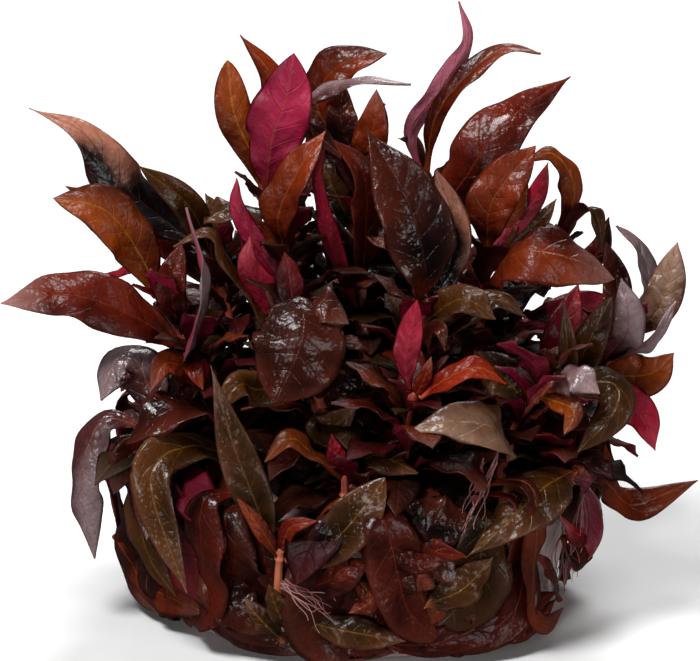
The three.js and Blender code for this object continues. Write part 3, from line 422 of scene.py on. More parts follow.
def seen(place):
    """A place given as right, up in the picture and how far it lies in front of the plant's axis."""
    right, up, front = place
    slope = (up - EYE_UP) / EYE_DISTANCE
    reach = front / math.cos(EYE_TILT) - MIDDLE_NEAR
    height = (up - slope * reach) / (1 + slope * math.tan(EYE_TILT))
    near = reach + height * math.tan(EYE_TILT)
    across = EYE_RIGHT + (right - EYE_RIGHT) * (1 - near / EYE_DISTANCE)
    return Vector((across, -front, (height + front * math.sin(EYE_TILT)) / math.cos(EYE_TILT)))


def facing(direction):
    """A direction given as right, up in the picture and towards the eye."""
    right, up, near = direction
    forward = near * math.cos(EYE_TILT) - up * math.sin(EYE_TILT)
    upward = up * math.cos(EYE_TILT) + near * math.sin(EYE_TILT)
    return Vector((right, -forward, upward)).normalized()


def around(bearing, radius, height):
    """A place by its bearing round the axis, 0 at the front and 90 on the right."""
    turn = math.radians(bearing)
    return Vector((radius * math.sin(turn), -radius * math.cos(turn), height))


def gel_radius(height):
    """The radius of the gel's wall, which leans out a little."""
    return GEL_FOOT_RADIUS + (GEL_RIM_RADIUS - GEL_FOOT_RADIUS) * height / GEL_HEIGHT


def spread(first, second):
    """A fraction that is spread evenly as either count goes up."""
    return (first * 0.618034 + second * 0.414214) % 1


# Lines

def even_steps(line, steps):
    """Evenly spaced points along a fine line, from its first to its last."""
    lengths = [0.0]
    for a, b in zip(line, line[1:]):
        lengths.append(lengths[-1] + (b - a).length)
    points, i = [], 0
    for step in range(steps + 1):
        goal = lengths[-1] * step / steps
        while i < len(line) - 2 and lengths[i + 1] < goal:
            i += 1
        part = (goal - lengths[i]) / max(lengths[i + 1] - lengths[i], 1e-9)
        points.append(line[i].lerp(line[i + 1], min(max(part, 0.0), 1.0)))
    return points


def curve_through(points, steps=STEPS, fine=24):
    """The smooth line through the points, in even steps."""
    ends = [points[0] * 2 - points[1], *points, points[-1] * 2 - points[-2]]
    line = []
    for p0, p1, p2, p3 in zip(ends, ends[1:], ends[2:], ends[3:]):
        start, end = (p2 - p0) / 2, (p3 - p1) / 2
        for k in range(fine):
            t = k / fine
            line.append(p1 + start * t + ((p2 - p1) * 3 - start * 2 - end) * t ** 2
                        + ((p1 - p2) * 2 + start + end) * t ** 3)
    line.append(points[-1])
    return even_steps(line, steps)


def stem_line(foot, top, fine=60):
    """A stem's line: straight up out of the gel, then leaning to its top."""
    bend = Vector((foot.x, foot.y, foot.z + STEM_RISE * (top.z - foot.z)))
    line = [foot.lerp(bend, k / fine).lerp(bend.lerp(top, k / fine), k / fine) for k in range(fine + 1)]
    return even_steps(line, fine)


def at_share(line, share):
    """The point and the direction at a share of a line in even steps."""
    last = len(line) - 1
    i = min(int(share * last), last - 1)
    return line[i].lerp(line[i + 1], share * last - i), (line[i + 1] - line[i]).normalized()


def leaf_base(line, at, towards, own):
    """Where a leaf leaves its stem: on its surface, or a little down its axis."""
    centre, tangent = at_share(line, at)
    if not own:
        return centre - tangent * LEAFLET_ROOT
    out = towards - centre
    return centre + (out - tangent * out.dot(tangent)).normalized() * STEM_RADIUS


# Shoots, as lines and leaves

def small_leaf(face, **spec):
    """A leaf that no node stands for: what it doesn't say is as usual."""
    return {"name": None, "at": 0, "twist": 0, "face": face.normalized(), **spec}


def front_shoot(spec):
    """A shoot of the front with its stem as a line, and its leaves as the points they pass."""
    line = stem_line(around(*spec["foot"]), seen(spec["top"]))
    leaves = []
    for row in spec["leaves"]:
        rest = [seen(place) for place in row["places"]]
        base = leaf_base(line, row["at"], rest[0], row["name"] is not None)
        leaves.append({**row, "points": [base, *rest], "face": facing(row["face"])})
    return {**spec, "line": line, "leaves": leaves}


def drooping_leaf(base, bearing, slope, length, droop, steps=2):
    """A leaf that leaves its stem on a bearing at a slope, and droops along its length."""
    points, stride = [base], length / steps
    for step in range(steps):
        angle = math.radians(slope - droop * (step + 0.5) / steps)
        points.append(points[-1] + around(bearing, stride * math.cos(angle), stride * math.sin(angle)))
    return points


def back_shoot(ring, index, seed):
    """A shoot of the back half: pairs of opposite leaves, each pair turned from the last."""
    bearing = ring["from"] + (ring["to"] - ring["from"]) * index / (ring["count"] - 1)

    def vary(number):
        """A factor a little above or below 1."""
        return 1 + STEM_VARY * (spread(seed, number) - 0.5)

    foot = around(bearing, ring["foot"] * vary(2), ON_GEL)
    top = around(bearing + STEM_SWAY * (spread(seed, 3) - 0.5), ring["lean"], ring["height"] * vary(1))
    line = stem_line(foot, top)
    leaves, b = [], BACK_LEAF
    for number in range(2 * ring["pairs"]):
        pair, side = divmod(number, 2)
        heading = bearing + b["pair_turn"] * pair + 180 * side + b["sway"] * (spread(seed, number) - 0.5)
        outward = math.cos(math.radians(heading - bearing))
        slope = b["slope"] + b["slope_rise"] * pair / ring["pairs"] + b["outward_slope"] * outward
        droop = b["droop"] + b["droop_spread"] * spread(seed, number + 5) + b["outward_droop"] * outward
        length = (b["length"] + b["length_spread"] * spread(seed, number + 9)) * (
            1 + b["outward_length"] * outward)
        at = ring["low"] + (1 - ring["low"]) * pair / (ring["pairs"] - 1)
        leaves.append(small_leaf(
            points=drooping_leaf(leaf_base(line, at, None, False), heading, slope, length, droop),
            face=around(heading, b["face_out"], 1), at=at,
            wide=b["wide"] + b["wide_spread"] * spread(seed, number + 3),
            twist=b["twist_spread"] * (spread(seed, number + 7) - 0.5),
            cup=b["cup_spread"] * (spread(seed, number + 4) - b["cup_middle"]),
            tone=BACK_TONES[(seed * 3 + number) % len(BACK_TONES)]))
    return {"name": f"shoot_{ring['name']}_{index + 1}", "line": line, "leaves": leaves}


def rim_shoot(index, bearing, rows):
    """A shoot of the rim: a short stem, with leaves that go over the rim and down the wall."""
    line = stem_line(around(bearing, RIM_FOOT_RADIUS, ON_GEL),
                     around(bearing, RIM_FOOT_RADIUS + RIM_STEM_LEAN, GEL_HEIGHT + RIM_STEM_HEIGHT))
    leaves = []
    for number, (path, wide, tone) in enumerate(rows):
        layer = LEAF_LAYER * number
        over = around(bearing + RIM_TURN * (path[0][0] - bearing), GEL_RIM_RADIUS + RIM_OVERHANG + layer,
                      GEL_HEIGHT + RIM_CLEARANCE + LAYER_RISE * layer)
        at = RIM_FIRST_LEAF + RIM_LEAF_STEP * number
        down = []
        for step, (heading, height) in enumerate(path):
            stand = WALL_STAND if step == len(path) - 1 else 2 * WALL_STAND
            down.append(around(heading, gel_radius(height) + stand + layer, height))
        leaves.append(small_leaf(
            points=[leaf_base(line, at, over, False), over, *down], wide=wide, tone=tone, at=at,
            face=around(path[0][0], 1, RIM_FACE_UP), cup=RIM_CUP, worn=0.7 if tone == "crimson" else 0.2))
    return {"name": f"shoot_rim_{index + 1}", "line": line, "leaves": leaves}


def least_height(wide, share):
    """How high the midrib of a leaf has to be along its length, so that its margins clear the ground."""
    return FOOT_CLEARANCE + MARGIN_ROOM * wide * math.sin(math.pi * share)


def wall_leaves(sizes):
    """Small dark leaves pressed against the gel's wall, between those that hang over its rim."""
    made, draw = [], random.Random(WALL_SEED)

    def pick(key):
        """One of the leaf's draws."""
        return draw.uniform(*WALL_LEAF[key])

    for number in range(sizes.wall_count):
        bearing = 360 * (number + pick("stray")) / sizes.wall_count
        height = WALL_ROWS[number % len(WALL_ROWS)] + pick("rise")
        turn = draw.choice((-1, 1)) * pick("turn")
        drop, lift, curl, wide = pick("drop"), pick("lift"), pick("curl"), pick("wide")
        over_window = any(WINDOW_FROM < end < WINDOW_TO for end in (bearing, bearing + turn))
        if over_window and height > WINDOW_FOOT:
            continue
        points = []
        for step in range(4):
            share = step / 3
            z = max(height - drop * share, least_height(wide, share))
            stand = 0.8 + lift * math.sin(math.pi * share) + curl * share ** 3
            points.append(around(bearing + turn * share, gel_radius(z) + stand, z))
        past_fork = [bearing + turn * step / 6 - 360 - FORK_BEARING for step in range(7)]
        if height > FORK_FOOT and any(abs(past) < FORK_WIDTH for past in past_fork):
            continue
        blade = small_leaf(
            points=points, face=around(bearing + turn / 2, 1, 0.2), wide=wide, age=0.2,
            twist=pick("twist"), cup=pick("cup"), tone=draw.choice(WALL_TONES), wet=pick("wet"))
        if not over_window:
            made.append(blade)
    return made


def on_wall(right, up, stand):
    """The place, a little off the gel's wall in front, that is seen there."""
    front = GEL_RIM_RADIUS
    for turn in range(8):
        place = seen([right, up, front])
        radius = gel_radius(min(max(place.z, 0), GEL_HEIGHT)) + stand
        front = math.sqrt(max(radius ** 2 - place.x ** 2, 0))
    return seen([right, up, front])


def bed_leaves():
    """The leaves round the foot of the clump in front."""
    made = []
    for number, (path, stand, wide, tone) in enumerate(BED_LEAVES):
        points, last = [], len(path) - 1
        for step, (right, up) in enumerate(path):
            point = on_wall(right, up, stand * (0.5 if step == 0 else 1))
            point.z = max(point.z, least_height(wide, step / last))
            points.append(point)
        out = Vector((points[1].x, points[1].y, 0)).normalized() + Vector((0, 0, 0.35))
        made.append(small_leaf(
            points=points, face=out, wide=wide, tone=tone, cup=BED_CUP, worn=0.1,
            twist=BED_TWIST * (spread(number, 2) - 0.5), wet=BED_WET * (1 + spread(number, 5))))
    return made


def back_rim():
    """The rim shoots of the back half: three leaves spread to both sides of each bearing."""
    shoots, r = [], BACK_RIM
    for index in range(r["count"]):
        bearing = r["from"] + (r["to"] - r["from"]) * index / (r["count"] - 1)
        rows = []
        for number, side in enumerate((-1, 0, 1)):
            heading = bearing + side * (r["turn"] + r["turn_spread"] * spread(index, number))
            low = r["low"] + r["low_spread"] * spread(index, number + 3)
            rows.append(([[heading, low + r["drop"]], [heading + r["sway"] * side, low]],
                         r["wide"] + r["wide_spread"] * spread(index, number + 6),
                         BACK_TONES[(3 * index + 2 * number) % len(BACK_TONES)]))
        shoots.append((bearing, rows))
    return shoots


def back_shoots():
    """Every shoot of the back half, ring by ring."""
    shoots = []
    for ring in BACK_RINGS:
        for index in range(ring["count"]):
            shoots.append(back_shoot(ring, index, len(shoots) + 1))
    return shoots


def inner_leaves(shoot, seed, sizes):
    """Small leaves down the stem, a golden angle apart, that fill the inside of the clump."""
    made = []
    for number in range(sizes.inner_count):
        share = (number + spread(seed, number)) / sizes.inner_count
        at = sizes.inner_low + (sizes.inner_high - sizes.inner_low) * share
        heading = GOLDEN_ANGLE * (number + 3 * seed)
        length = (sizes.inner_length / MM) * (1.1 - 0.5 * share) * (0.65 + 0.6 * spread(seed, number + 2))
        slope = 25 + 35 * share + 25 * spread(seed, number + 4)
        droop = (1.2 - 0.8 * share) * (50 + 90 * spread(seed, number + 6))
        # Their age darkens them most near the foot of the stem, which is a painted shade deep in the clump.
        made.append(small_leaf(
            points=drooping_leaf(leaf_base(shoot["line"], at, None, False), heading, slope, length, droop, 3),
            face=around(heading, 0.35, 1), wide=length * (0.36 + 0.16 * spread(seed, number + 1)),
            twist=90 * (spread(seed, number + 3) - 0.5), cup=30 * spread(seed, number + 8) - 8, at=at,
            tone=INNER_TONES[(seed * 2 + number) % len(INNER_TONES)],
            age=1.0 - 0.5 * share, wet=0.1 + 0.3 * spread(seed, number + 7)))
    return made


# Strands: the guide lines that the growth tree follows

def half_width(wide, along, tip_taper):
    """Half the width of a leaf along its length, drawn in to its stalk and to its tip."""
    widest = BASE_TAPER / (BASE_TAPER + tip_taper)
    blade = (along / widest) ** BASE_TAPER * ((1 - along) / (1 - widest)) ** tip_taper
    return max(PETIOLE_HALF_WIDTH * (1 - along), wide / 2 * blade)


def leaf_strand(spec, seed):
    """A leaf's midrib with the way its upper face looks, worked back from the tip. A leaf that says
    its age is a small one deep in the clump, and has fewer steps."""
    steps = STEPS // 2 if "age" in spec else STEPS
    line = curve_through(spec["points"], steps)
    faces, carried = [], Vector()
    for step in range(steps, -1, -1):
        before, after = line[max(step - 1, 0)], line[min(step + 1, steps)]
        tangent = (after - before).normalized()
        aim = carried * FACE_CARRY + spec["face"]
        carried = (aim - tangent * aim.dot(tangent)).normalized()
        turn = Matrix.Rotation(math.radians(spec["twist"]) * (step / steps - 0.5), 3, tangent)
        faces.insert(0, turn @ carried)
    taper = spec.get("taper", TIP_TAPER + TIP_SPREAD * (seed - 0.5))
    # Small leaves get a paler tip at random, which is partly a painted sheen.
    pale = 0.0 if spec["name"] else 0.4 * spread(2, 1000 * seed) ** 2
    return {
        "points": line, "faces": faces, "stem": 0.0, "seed": seed, "tone": spec.get("look", spec["tone"]),
        "cup": math.tan(math.radians(spec["cup"])), "age": spec.get("age", spec.get("worn", 0.0)),
        "half": [max(half_width(spec["wide"], step / steps, taper), LEAST_HALF) for step in range(steps + 1)],
        "wet": spec.get("wet", 0.05 + 0.45 * spread(1, 1000 * seed)), "pale": spec.get("pale", pale),
    }


def stem_strand(shoot, seed, sizes):
    """A stem, a little thicker at its foot and where its leaves leave it."""
    line, half = list(shoot["line"]), []
    nodes = [spec["at"] for spec in shoot["leaves"] if "age" not in spec]
    for step in range(len(line)):
        share = step / (len(line) - 1)
        swell = max(math.exp(-((share - at) / NODE_LENGTH) ** 2) for at in nodes)
        half.append(STEM_RADIUS * (1 - STEM_TAPER * share) * (STEM_SLIM + NODE_SWELL * swell))
    if abs(line[0].z - ON_GEL) < 0.01:
        sunk = sizes.sunk / MM
        line.insert(0, line[0] - Vector((0, 0, sunk)))
        half.insert(0, half[0] * 0.6)
    line.append(line[-1] + (line[-1] - line[-2]).normalized() * 0.6)
    half.append(0.25)
    return round_strand(line, half, seed, "stem", 1.0 if shoot.get("young") else 0.0)


def round_strand(line, half, seed, tone, age=0.0):
    """A strand that grows round, as a stem or a root."""
    return {"points": line, "half": half, "stem": 1.0, "seed": seed, "tone": tone, "age": age, "cup": 0.0,
            "wet": 0.0, "pale": 0.0, "faces": [Vector((0, 0, 1))] * len(line)}


def at_radius(place, radius):
    """The place, moved level to a distance from the axis."""
    out = math.hypot(place.x, place.y)
    return Vector((place.x * radius / out, place.y * radius / out, place.z))


def narrowing(thick, loss, steps):
    """Half widths that lose a share of the first one by the last."""
    return [thick * (1 - loss * step / steps) for step in range(steps + 1)]


def gel_roots(sizes, draw):
    """Roots that wander down through the gel from the stems' feet, some of them along its wall."""
    strands = []
    for number in range(sizes.count):
        bearing, radius = draw.uniform(0, 360), math.sqrt(draw.random()) * ROOT_SPREAD
        place = around(bearing, radius, GEL_HEIGHT - 0.6)
        heading = Vector((draw.uniform(-1, 1), draw.uniform(-1, 1), -0.7)).normalized()
        line = [place]
        for step in range(ROOT_STEPS):
            bend = Vector((draw.gauss(0, 1), draw.gauss(0, 1), draw.gauss(0, 1)))
            heading = (heading + bend * 0.32 + Vector((0, 0, -0.1))).normalized()
            place = place + heading * ROOT_STRIDE
            place.z = min(max(place.z, ROOT_DEPTH), GEL_HEIGHT - 0.5)
            limit = gel_radius(place.z) - ROOT_DEPTH
            if math.hypot(place.x, place.y) > limit:
                place = at_radius(place, limit)
            line.append(place.copy())
        thick = draw.uniform(0.7, 1.3) * sizes.thickness / MM / 2
        strands.append(round_strand(line, narrowing(thick, 0.7, ROOT_STEPS), draw.random(), "root"))
    return strands


def tuft_roots(sizes, draw):
    """Roots that hang in the open between the lowest stems and the foot of the clump."""
    strands = []
    for begin, finish, start_spread, end_spread, count in ROOT_TUFTS:
        for number in range(count):
            sway, start_shift, end_shift = (
                Vector(draw.uniform(-1, 1) for axis in range(3)) * reach
                for reach in (TUFT_SWAY, start_spread, end_spread))
            start, end = seen(begin) + start_shift, seen(finish) + end_shift
            line, phase = [], draw.uniform(0, 6.3)
            for step in range(TUFT_STEPS + 1):
                share = step / TUFT_STEPS
                place = start.lerp(end, share) + sway * math.sin(7 * share + phase) * share
                place.z = max(place.z, 0.6)
                least = gel_radius(place.z) + 0.4 if place.z < GEL_HEIGHT and share < 0.8 else 0
                if math.hypot(place.x, place.y) < least:
                    place = at_radius(place, least)
                line.append(place)
            thick = draw.uniform(0.3, 0.65) * sizes.thickness / MM / 2
            strands.append(round_strand(line, narrowing(thick, 0.6, TUFT_STEPS), draw.random(), "root",
                                        draw.uniform(0.75, 1)))
    return strands


def root_strands(sizes):
    """Every root, in the gel and out of it, from one run of draws."""
    draw = random.Random(ROOT_SEED)
    return gel_roots(sizes, draw) + tuft_roots(sizes, draw)


# What a strand says once for all its points
STRAND_VALUES = ("seed", "cup", "stem", "age", "wet", "pale")


def strand_mesh(name, strands):
    """The strands as loose lines with what each point knows: its face, half width, finish and seed."""
    points, edges = [], []
    columns = {key: [] for key in ("face", "half", "along", "tone", *STRAND_VALUES)}
    for strand in strands:
        start, last = len(points), len(strand["points"]) - 1
        for i, point in enumerate(strand["points"]):
            points.append(point * MM)
            columns["face"].extend(strand["faces"][i])
            columns["half"].append(strand["half"][i] * MM)
            columns["along"].append(i / last)
            columns["tone"].append(FINISHES.index(strand["tone"]))
            for key in STRAND_VALUES:
                columns[key].append(strand[key])
        edges.extend((start + i, start + i + 1) for i in range(last))
    mesh = bpy.data.meshes.new(name)
    mesh.from_pydata(points, edges, [])
    for key, values in columns.items():
        kind = {"face": "FLOAT_VECTOR", "tone": "INT"}.get(key, "FLOAT")
        layer = mesh.attributes.new(key, kind, "POINT")
        layer.data.foreach_set("vector" if key == "face" else "value", values)
    return mesh


# Node trees

class Amount:
    """A number in a node tree, so that a formula reads as plain arithmetic."""

    def __init__(self, tree, socket):
        self.tree, self.socket = tree, socket

    def take(self, operation, *others):
        """The number that a Math node makes of this one and the others."""
        node = self.tree.nodes.new("ShaderNodeMath")
        node.operation = operation
        for slot, value in zip(node.inputs, (self, *others)):
            feed(self.tree, value, slot)
        return Amount(self.tree, node.outputs[0])

    def __rsub__(self, other):
        return self * -1 + other

    __add__ = __radd__ = partialmethod(take, "ADD")
    __mul__ = __rmul__ = partialmethod(take, "MULTIPLY")
    __sub__ = partialmethod(take, "SUBTRACT")
    __truediv__ = partialmethod(take, "DIVIDE")
    __pow__ = partialmethod(take, "POWER")
    __abs__ = partialmethod(take, "ABSOLUTE")

    def within(self, low, high):
        """The number, kept between two bounds."""
        return self.take("MAXIMUM", low).take("MINIMUM", high)


def feed(tree, value, socket):
    """Sets an input to a plain value, or links it to what makes its value."""
    if isinstance(value, Amount):
        tree.links.new(value.socket, socket)
    elif isinstance(value, bpy.types.NodeSocket):
        tree.links.new(value, socket)
    else:
        socket.default_value = value


def place_node(tree, kind, inputs=None, **settings):
    """Adds a node, sets it up and feeds the inputs that are named or numbered."""
    node = tree.nodes.new(kind)
    for key, value in settings.items():
        setattr(node, key, value)
    for key, value in (inputs or {}).items():
        if isinstance(key, str):
            key = next(i for i, s in enumerate(node.inputs) if s.name == key and s.enabled)
        feed(tree, value, node.inputs[key])
    return node


def named(tree, name, data_type="FLOAT"):
    """What the geometry knows under a name."""
    node = place_node(tree, "GeometryNodeInputNamedAttribute", {"Name": name}, data_type=data_type)
    socket = next(s for s in node.outputs if s.name == "Attribute" and s.enabled)
    return socket if data_type == "FLOAT_VECTOR" else Amount(tree, socket)


def keep(tree, geometry, name, value, data_type="FLOAT", domain="POINT"):
    """Keeps a value on the geometry under a name."""
    node = place_node(tree, "GeometryNodeStoreNamedAttribute",
                      {"Geometry": geometry, "Name": name, "Value": value},
                      data_type=data_type, domain=domain)
    return node.outputs[0]


SIDE_VEINS = 8
VEIN_SWEEP = 1.25


def vein_phase(along, across):
    """Counts the side veins along the blade: it is whole on each vein, which sweeps to the tip."""
    return along * SIDE_VEINS - (abs(across) ** 1.2) * VEIN_SWEEP


# The share of a leaf's length that is its stalk
STALK_SHARE = 0.16

# In metres: half the width of the blade that the wave's height is given for, and how softly a
# blade folds along its midrib
WAVE_HALF_WIDTH = 0.004
FOLD_SOFTNESS = 0.0004

# The sizes of a blade, which are settings and inputs of the growth tree under the same names
BLADE_SIZES = ("thickness", "stalk", "rib_height", "rib_width", "quilting", "wave", "crumple",
               "crumple_scale")


def blade_lift(tree, size):
    """How far each point of a blade stands off its midrib's plane, along its face."""
    along, across, side, half, seed = (
        named(tree, name) for name in ("along", "across", "side", "half", "seed"))
    window = ((along * math.pi).take("SINE") * 1.6).within(0, 1)
    reach = abs(across) * half
    stalk = (1 - along / STALK_SHARE).within(0, 1) ** 2
    thin = size["thickness"] * 0.5
    thick = thin + (size["stalk"] * 0.5 - thin) * stalk
    body = side * thick * (1 - across ** 2).within(0, 1) ** 0.5
    rib = ((reach / size["rib_width"]) ** 2 * -1).take("EXPONENT")
    rib = rib * (side * 0.3 - 0.7) * size["rib_height"] * (1 - along * 0.7) * (1 - stalk)
    pillow = abs((vein_phase(along, across) * math.pi).take("SINE")) ** 0.7
    pillow = pillow * (1 - across ** 2) * window * size["quilting"]
    ripple = ((along * 2.6 + seed * 7 + across * 0.22) * (2 * math.pi)).take("SINE")
    ruffle = ((along * 5.3 + seed * 11 - across * 0.4) * (2 * math.pi)).take("SINE")
    ripple = (ripple + ruffle * 0.35) * across ** 2 * window * size["wave"] * (half / WAVE_HALF_WIDTH)
    swells = place_node(tree, "ShaderNodeTexNoise", {"Scale": size["crumple_scale"], "Detail": 2.0})
    crumple = (Amount(tree, swells.outputs[0]) - 0.5) * 2 * window * size["crumple"]
    trough = ((reach ** 2 + FOLD_SOFTNESS ** 2) ** 0.5 - FOLD_SOFTNESS) * named(tree, "cup")
    return body + rib + pillow + ripple + crumple + trough


def growth_tree(finishes):
    """The tree that grows leaves and stems along strands: a thin veined blade where a strand is a
    leaf's midrib, and a round stem elsewhere."""
    tree = bpy.data.node_groups.new("Growth along strands", "GeometryNodeTree")

    def socket(name, kind, side="INPUT"):
        """Adds an input or the output to the tree."""
        tree.interface.new_socket(name, in_out=side, socket_type="NodeSocket" + kind)

    def made(kind, inputs=None, **settings):
        """The first output of a new node."""
        return place_node(tree, kind, inputs, **settings).outputs[0]

    socket("Strands", "Geometry")
    inputs = {"Int": ("blade_sides", "stem_sides"), "Float": BLADE_SIZES, "Material": finishes}
    for kind, names in inputs.items():
        for name in names:
            socket(name, kind)
    socket("Growth", "Geometry", "OUTPUT")
    given = tree.nodes.new("NodeGroupInput").outputs

    stem = made("FunctionNodeCompare", {"A": named(tree, "stem"), "B": 0.5},
                data_type="FLOAT", operation="GREATER_THAN")
    parts = place_node(tree, "GeometryNodeSeparateGeometry",
                       {"Geometry": given["Strands"], "Selection": stem})

    ribs = made("GeometryNodeMeshToCurve", {"Mesh": parts.outputs["Inverted"]})
    ribs = made("GeometryNodeSetCurveNormal", {"Curve": ribs, "Normal": named(tree, "face", "FLOAT_VECTOR")},
                mode="FREE")
    ring = made("GeometryNodeCurvePrimitiveCircle", {"Resolution": given["blade_sides"], "Radius": 1.0})
    where = place_node(tree, "ShaderNodeSeparateXYZ", {0: made("GeometryNodeInputPosition")})
    across = Amount(tree, where.outputs[1]).within(-1, 1).take("ARCSINE") * (2 / math.pi)
    lens = keep(tree, ring, "across", across)
    lens = keep(tree, lens, "side", (Amount(tree, where.outputs[0]) * 1e4).within(-1, 1))
    flat = made("ShaderNodeCombineXYZ", {1: named(tree, "across")})
    lens = made("GeometryNodeSetPosition", {"Geometry": lens, "Position": flat})
    blades = made("GeometryNodeCurveToMesh", {"Curve": ribs, "Profile Curve": lens,
                                              "Scale": named(tree, "half"), "Fill Caps": True})
    lift = blade_lift(tree, {name: Amount(tree, given[name]) for name in BLADE_SIZES})
    lift = made("ShaderNodeVectorMath", {0: named(tree, "face", "FLOAT_VECTOR"), "Scale": lift},
                operation="SCALE")
    blades = made("GeometryNodeSetPosition", {"Geometry": blades, "Offset": lift})

    cores = made("GeometryNodeMeshToCurve", {"Mesh": parts.outputs["Selection"]})
    ring = made("GeometryNodeCurvePrimitiveCircle", {"Resolution": given["stem_sides"], "Radius": 1.0})
    turn = Amount(tree, place_node(tree, "GeometryNodeSplineParameter").outputs["Factor"])
    ring = keep(tree, keep(tree, ring, "across", turn * 2 - 1), "side", 1.0)
    tubes = made("GeometryNodeCurveToMesh", {"Curve": cores, "Profile Curve": ring,
                                             "Scale": named(tree, "half"), "Fill Caps": True})

    whole = tree.nodes.new("GeometryNodeJoinGeometry")
    tree.links.new(tubes, whole.inputs[0])
    tree.links.new(blades, whole.inputs[0])
    unwrapped = made("ShaderNodeCombineXYZ", {0: named(tree, "across"), 1: named(tree, "along")})
    grown = keep(tree, whole.outputs[0], "blade", unwrapped, "FLOAT2", "CORNER")
    grown = made("GeometryNodeSetShadeSmooth", {"Geometry": grown})
    grown = made("GeometryNodeRealizeInstances", {"Geometry": grown})
    for number, name in enumerate(finishes):
        chosen = made("FunctionNodeCompare", {"A": named(tree, "tone"), "B": float(number), "Epsilon": 0.25},
                      data_type="FLOAT", operation="EQUAL")
        grown = made("GeometryNodeSetMaterial",
                     {"Geometry": grown, "Selection": chosen, "Material": given[name]})
    tree.links.new(grown, tree.nodes.new("NodeGroupOutput").inputs[0])
    return tree


def used_materials_only(mesh):
    """Drops the material slots that no face uses."""
    used = sorted({face.material_index for face in mesh.polygons})
    kept = [mesh.materials[i] for i in used]
    place = {old: new for new, old in enumerate(used)}
    indices = [place[face.material_index] for face in mesh.polygons]
    mesh.materials.clear()
    for material in kept:
        mesh.materials.append(material)
    mesh.polygons.foreach_set("material_index", indices)


def grow(name, strands, node, blade_sides, stem_sides):
    """Grows one piece along its strands, in place of a node of the part."""
    tree = bpy.data.node_groups.get("Growth along strands") or growth_tree(FINISHES)
    piece = bpy.data.objects.new(name, strand_mesh(name + "_strands", strands))
    bpy.context.scene.collection.objects.link(piece)
    modifier = piece.modifiers.new("Growth", "NODES")
    modifier.node_group = tree
    values = {"blade_sides": blade_sides, "stem_sides": stem_sides}
    values.update({size: getattr(bpy.context.scene.clump_leaves, size) for size in BLADE_SIZES})
    values.update({finish: finish_material(finish) for finish in FINISHES})
    for item in tree.interface.items_tree:
        if item.in_out == "INPUT" and item.name in values:
            modifier[item.identifier] = values[item.name]
    graph = bpy.context.evaluated_depsgraph_get()
    grown = bpy.data.meshes.new_from_object(piece.evaluated_get(graph), preserve_all_data_layers=True,
                                            depsgraph=graph)
    piece.modifiers.remove(modifier)
    strands_mesh = piece.data
    piece.data = grown
    grown.name = name
    bpy.data.meshes.remove(strands_mesh)
    if not grown.polygons:
        raise RuntimeError(f"{name} grew nothing")
    used_materials_only(grown)
    for key in ("face", "cup", "stem", "tone", "along", "across"):
        if key in grown.attributes:
            grown.attributes.remove(grown.attributes[key])
    settle(piece, node)


def settle(piece, node):
    """Puts a finished piece in the frame in place of its node."""
    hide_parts(node)
    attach(piece, "root")


# Materials

def mix(tree, share, first, second):
    """A colour between two others."""
    node = tree.nodes.new("ShaderNodeMix")
    node.data_type = "RGBA"
    for slot, value in zip((node.inputs[0], node.inputs[6], node.inputs[7]), (share, first, second)):
        feed(tree, (*value, 1.0) if isinstance(value, tuple) else value, slot)
    return node.outputs[2]


def noise(tree, vector, scale, detail=3.0):
    """Soft uneven patches, as a number from 0 to 1."""
    node = place_node(tree, "ShaderNodeTexNoise", {"Vector": vector, "Scale": scale, "Detail": detail})
    return Amount(tree, node.outputs[0])


def attribute(tree, name):
    """What the mesh knows under a name."""
    node = place_node(tree, "ShaderNodeAttribute", attribute_name=name)
    return Amount(tree, node.outputs["Fac"])


def on_piece(tree):
    """The place on a piece, which patterns read."""
    return place_node(tree, "ShaderNodeTexCoord").outputs["Object"]


def on_blade(tree):
    """How far across and how far along its strand a place is."""
    unwrapped = place_node(tree, "ShaderNodeUVMap", uv_map="blade").outputs[0]
    blade = place_node(tree, "ShaderNodeSeparateXYZ", {0: unwrapped})
    return Amount(tree, blade.outputs[0]), Amount(tree, blade.outputs[1])


# The colours, numbers and results of the leaf skin
SKIN_COLOURS = ["Upper", "Deep", "Vein", "Margin", "Under", "Stalk"]
SKIN_NUMBERS = {"Gloss": 0.25, "Fade": 0.85, "Fade start": 0.0, "Lean": 0.0}
SKIN_RESULTS = {"Colour": "Color", "Glow": "Color", "Roughness": "Float", "Height": "Float", "Wet": "Float"}

# Wrinkles to the metre, how far a vein shows on both sides, as a share of the gap to the next one and for the
# midrib in millimetres, and the colour of a paler tip, which is partly a painted sheen
WRINKLES = 1400.0
VEIN_WIDTH = 0.035
MIDRIB_WIDTH = 0.12
PALE_TIP_AND_SHEEN = "#9c746c"


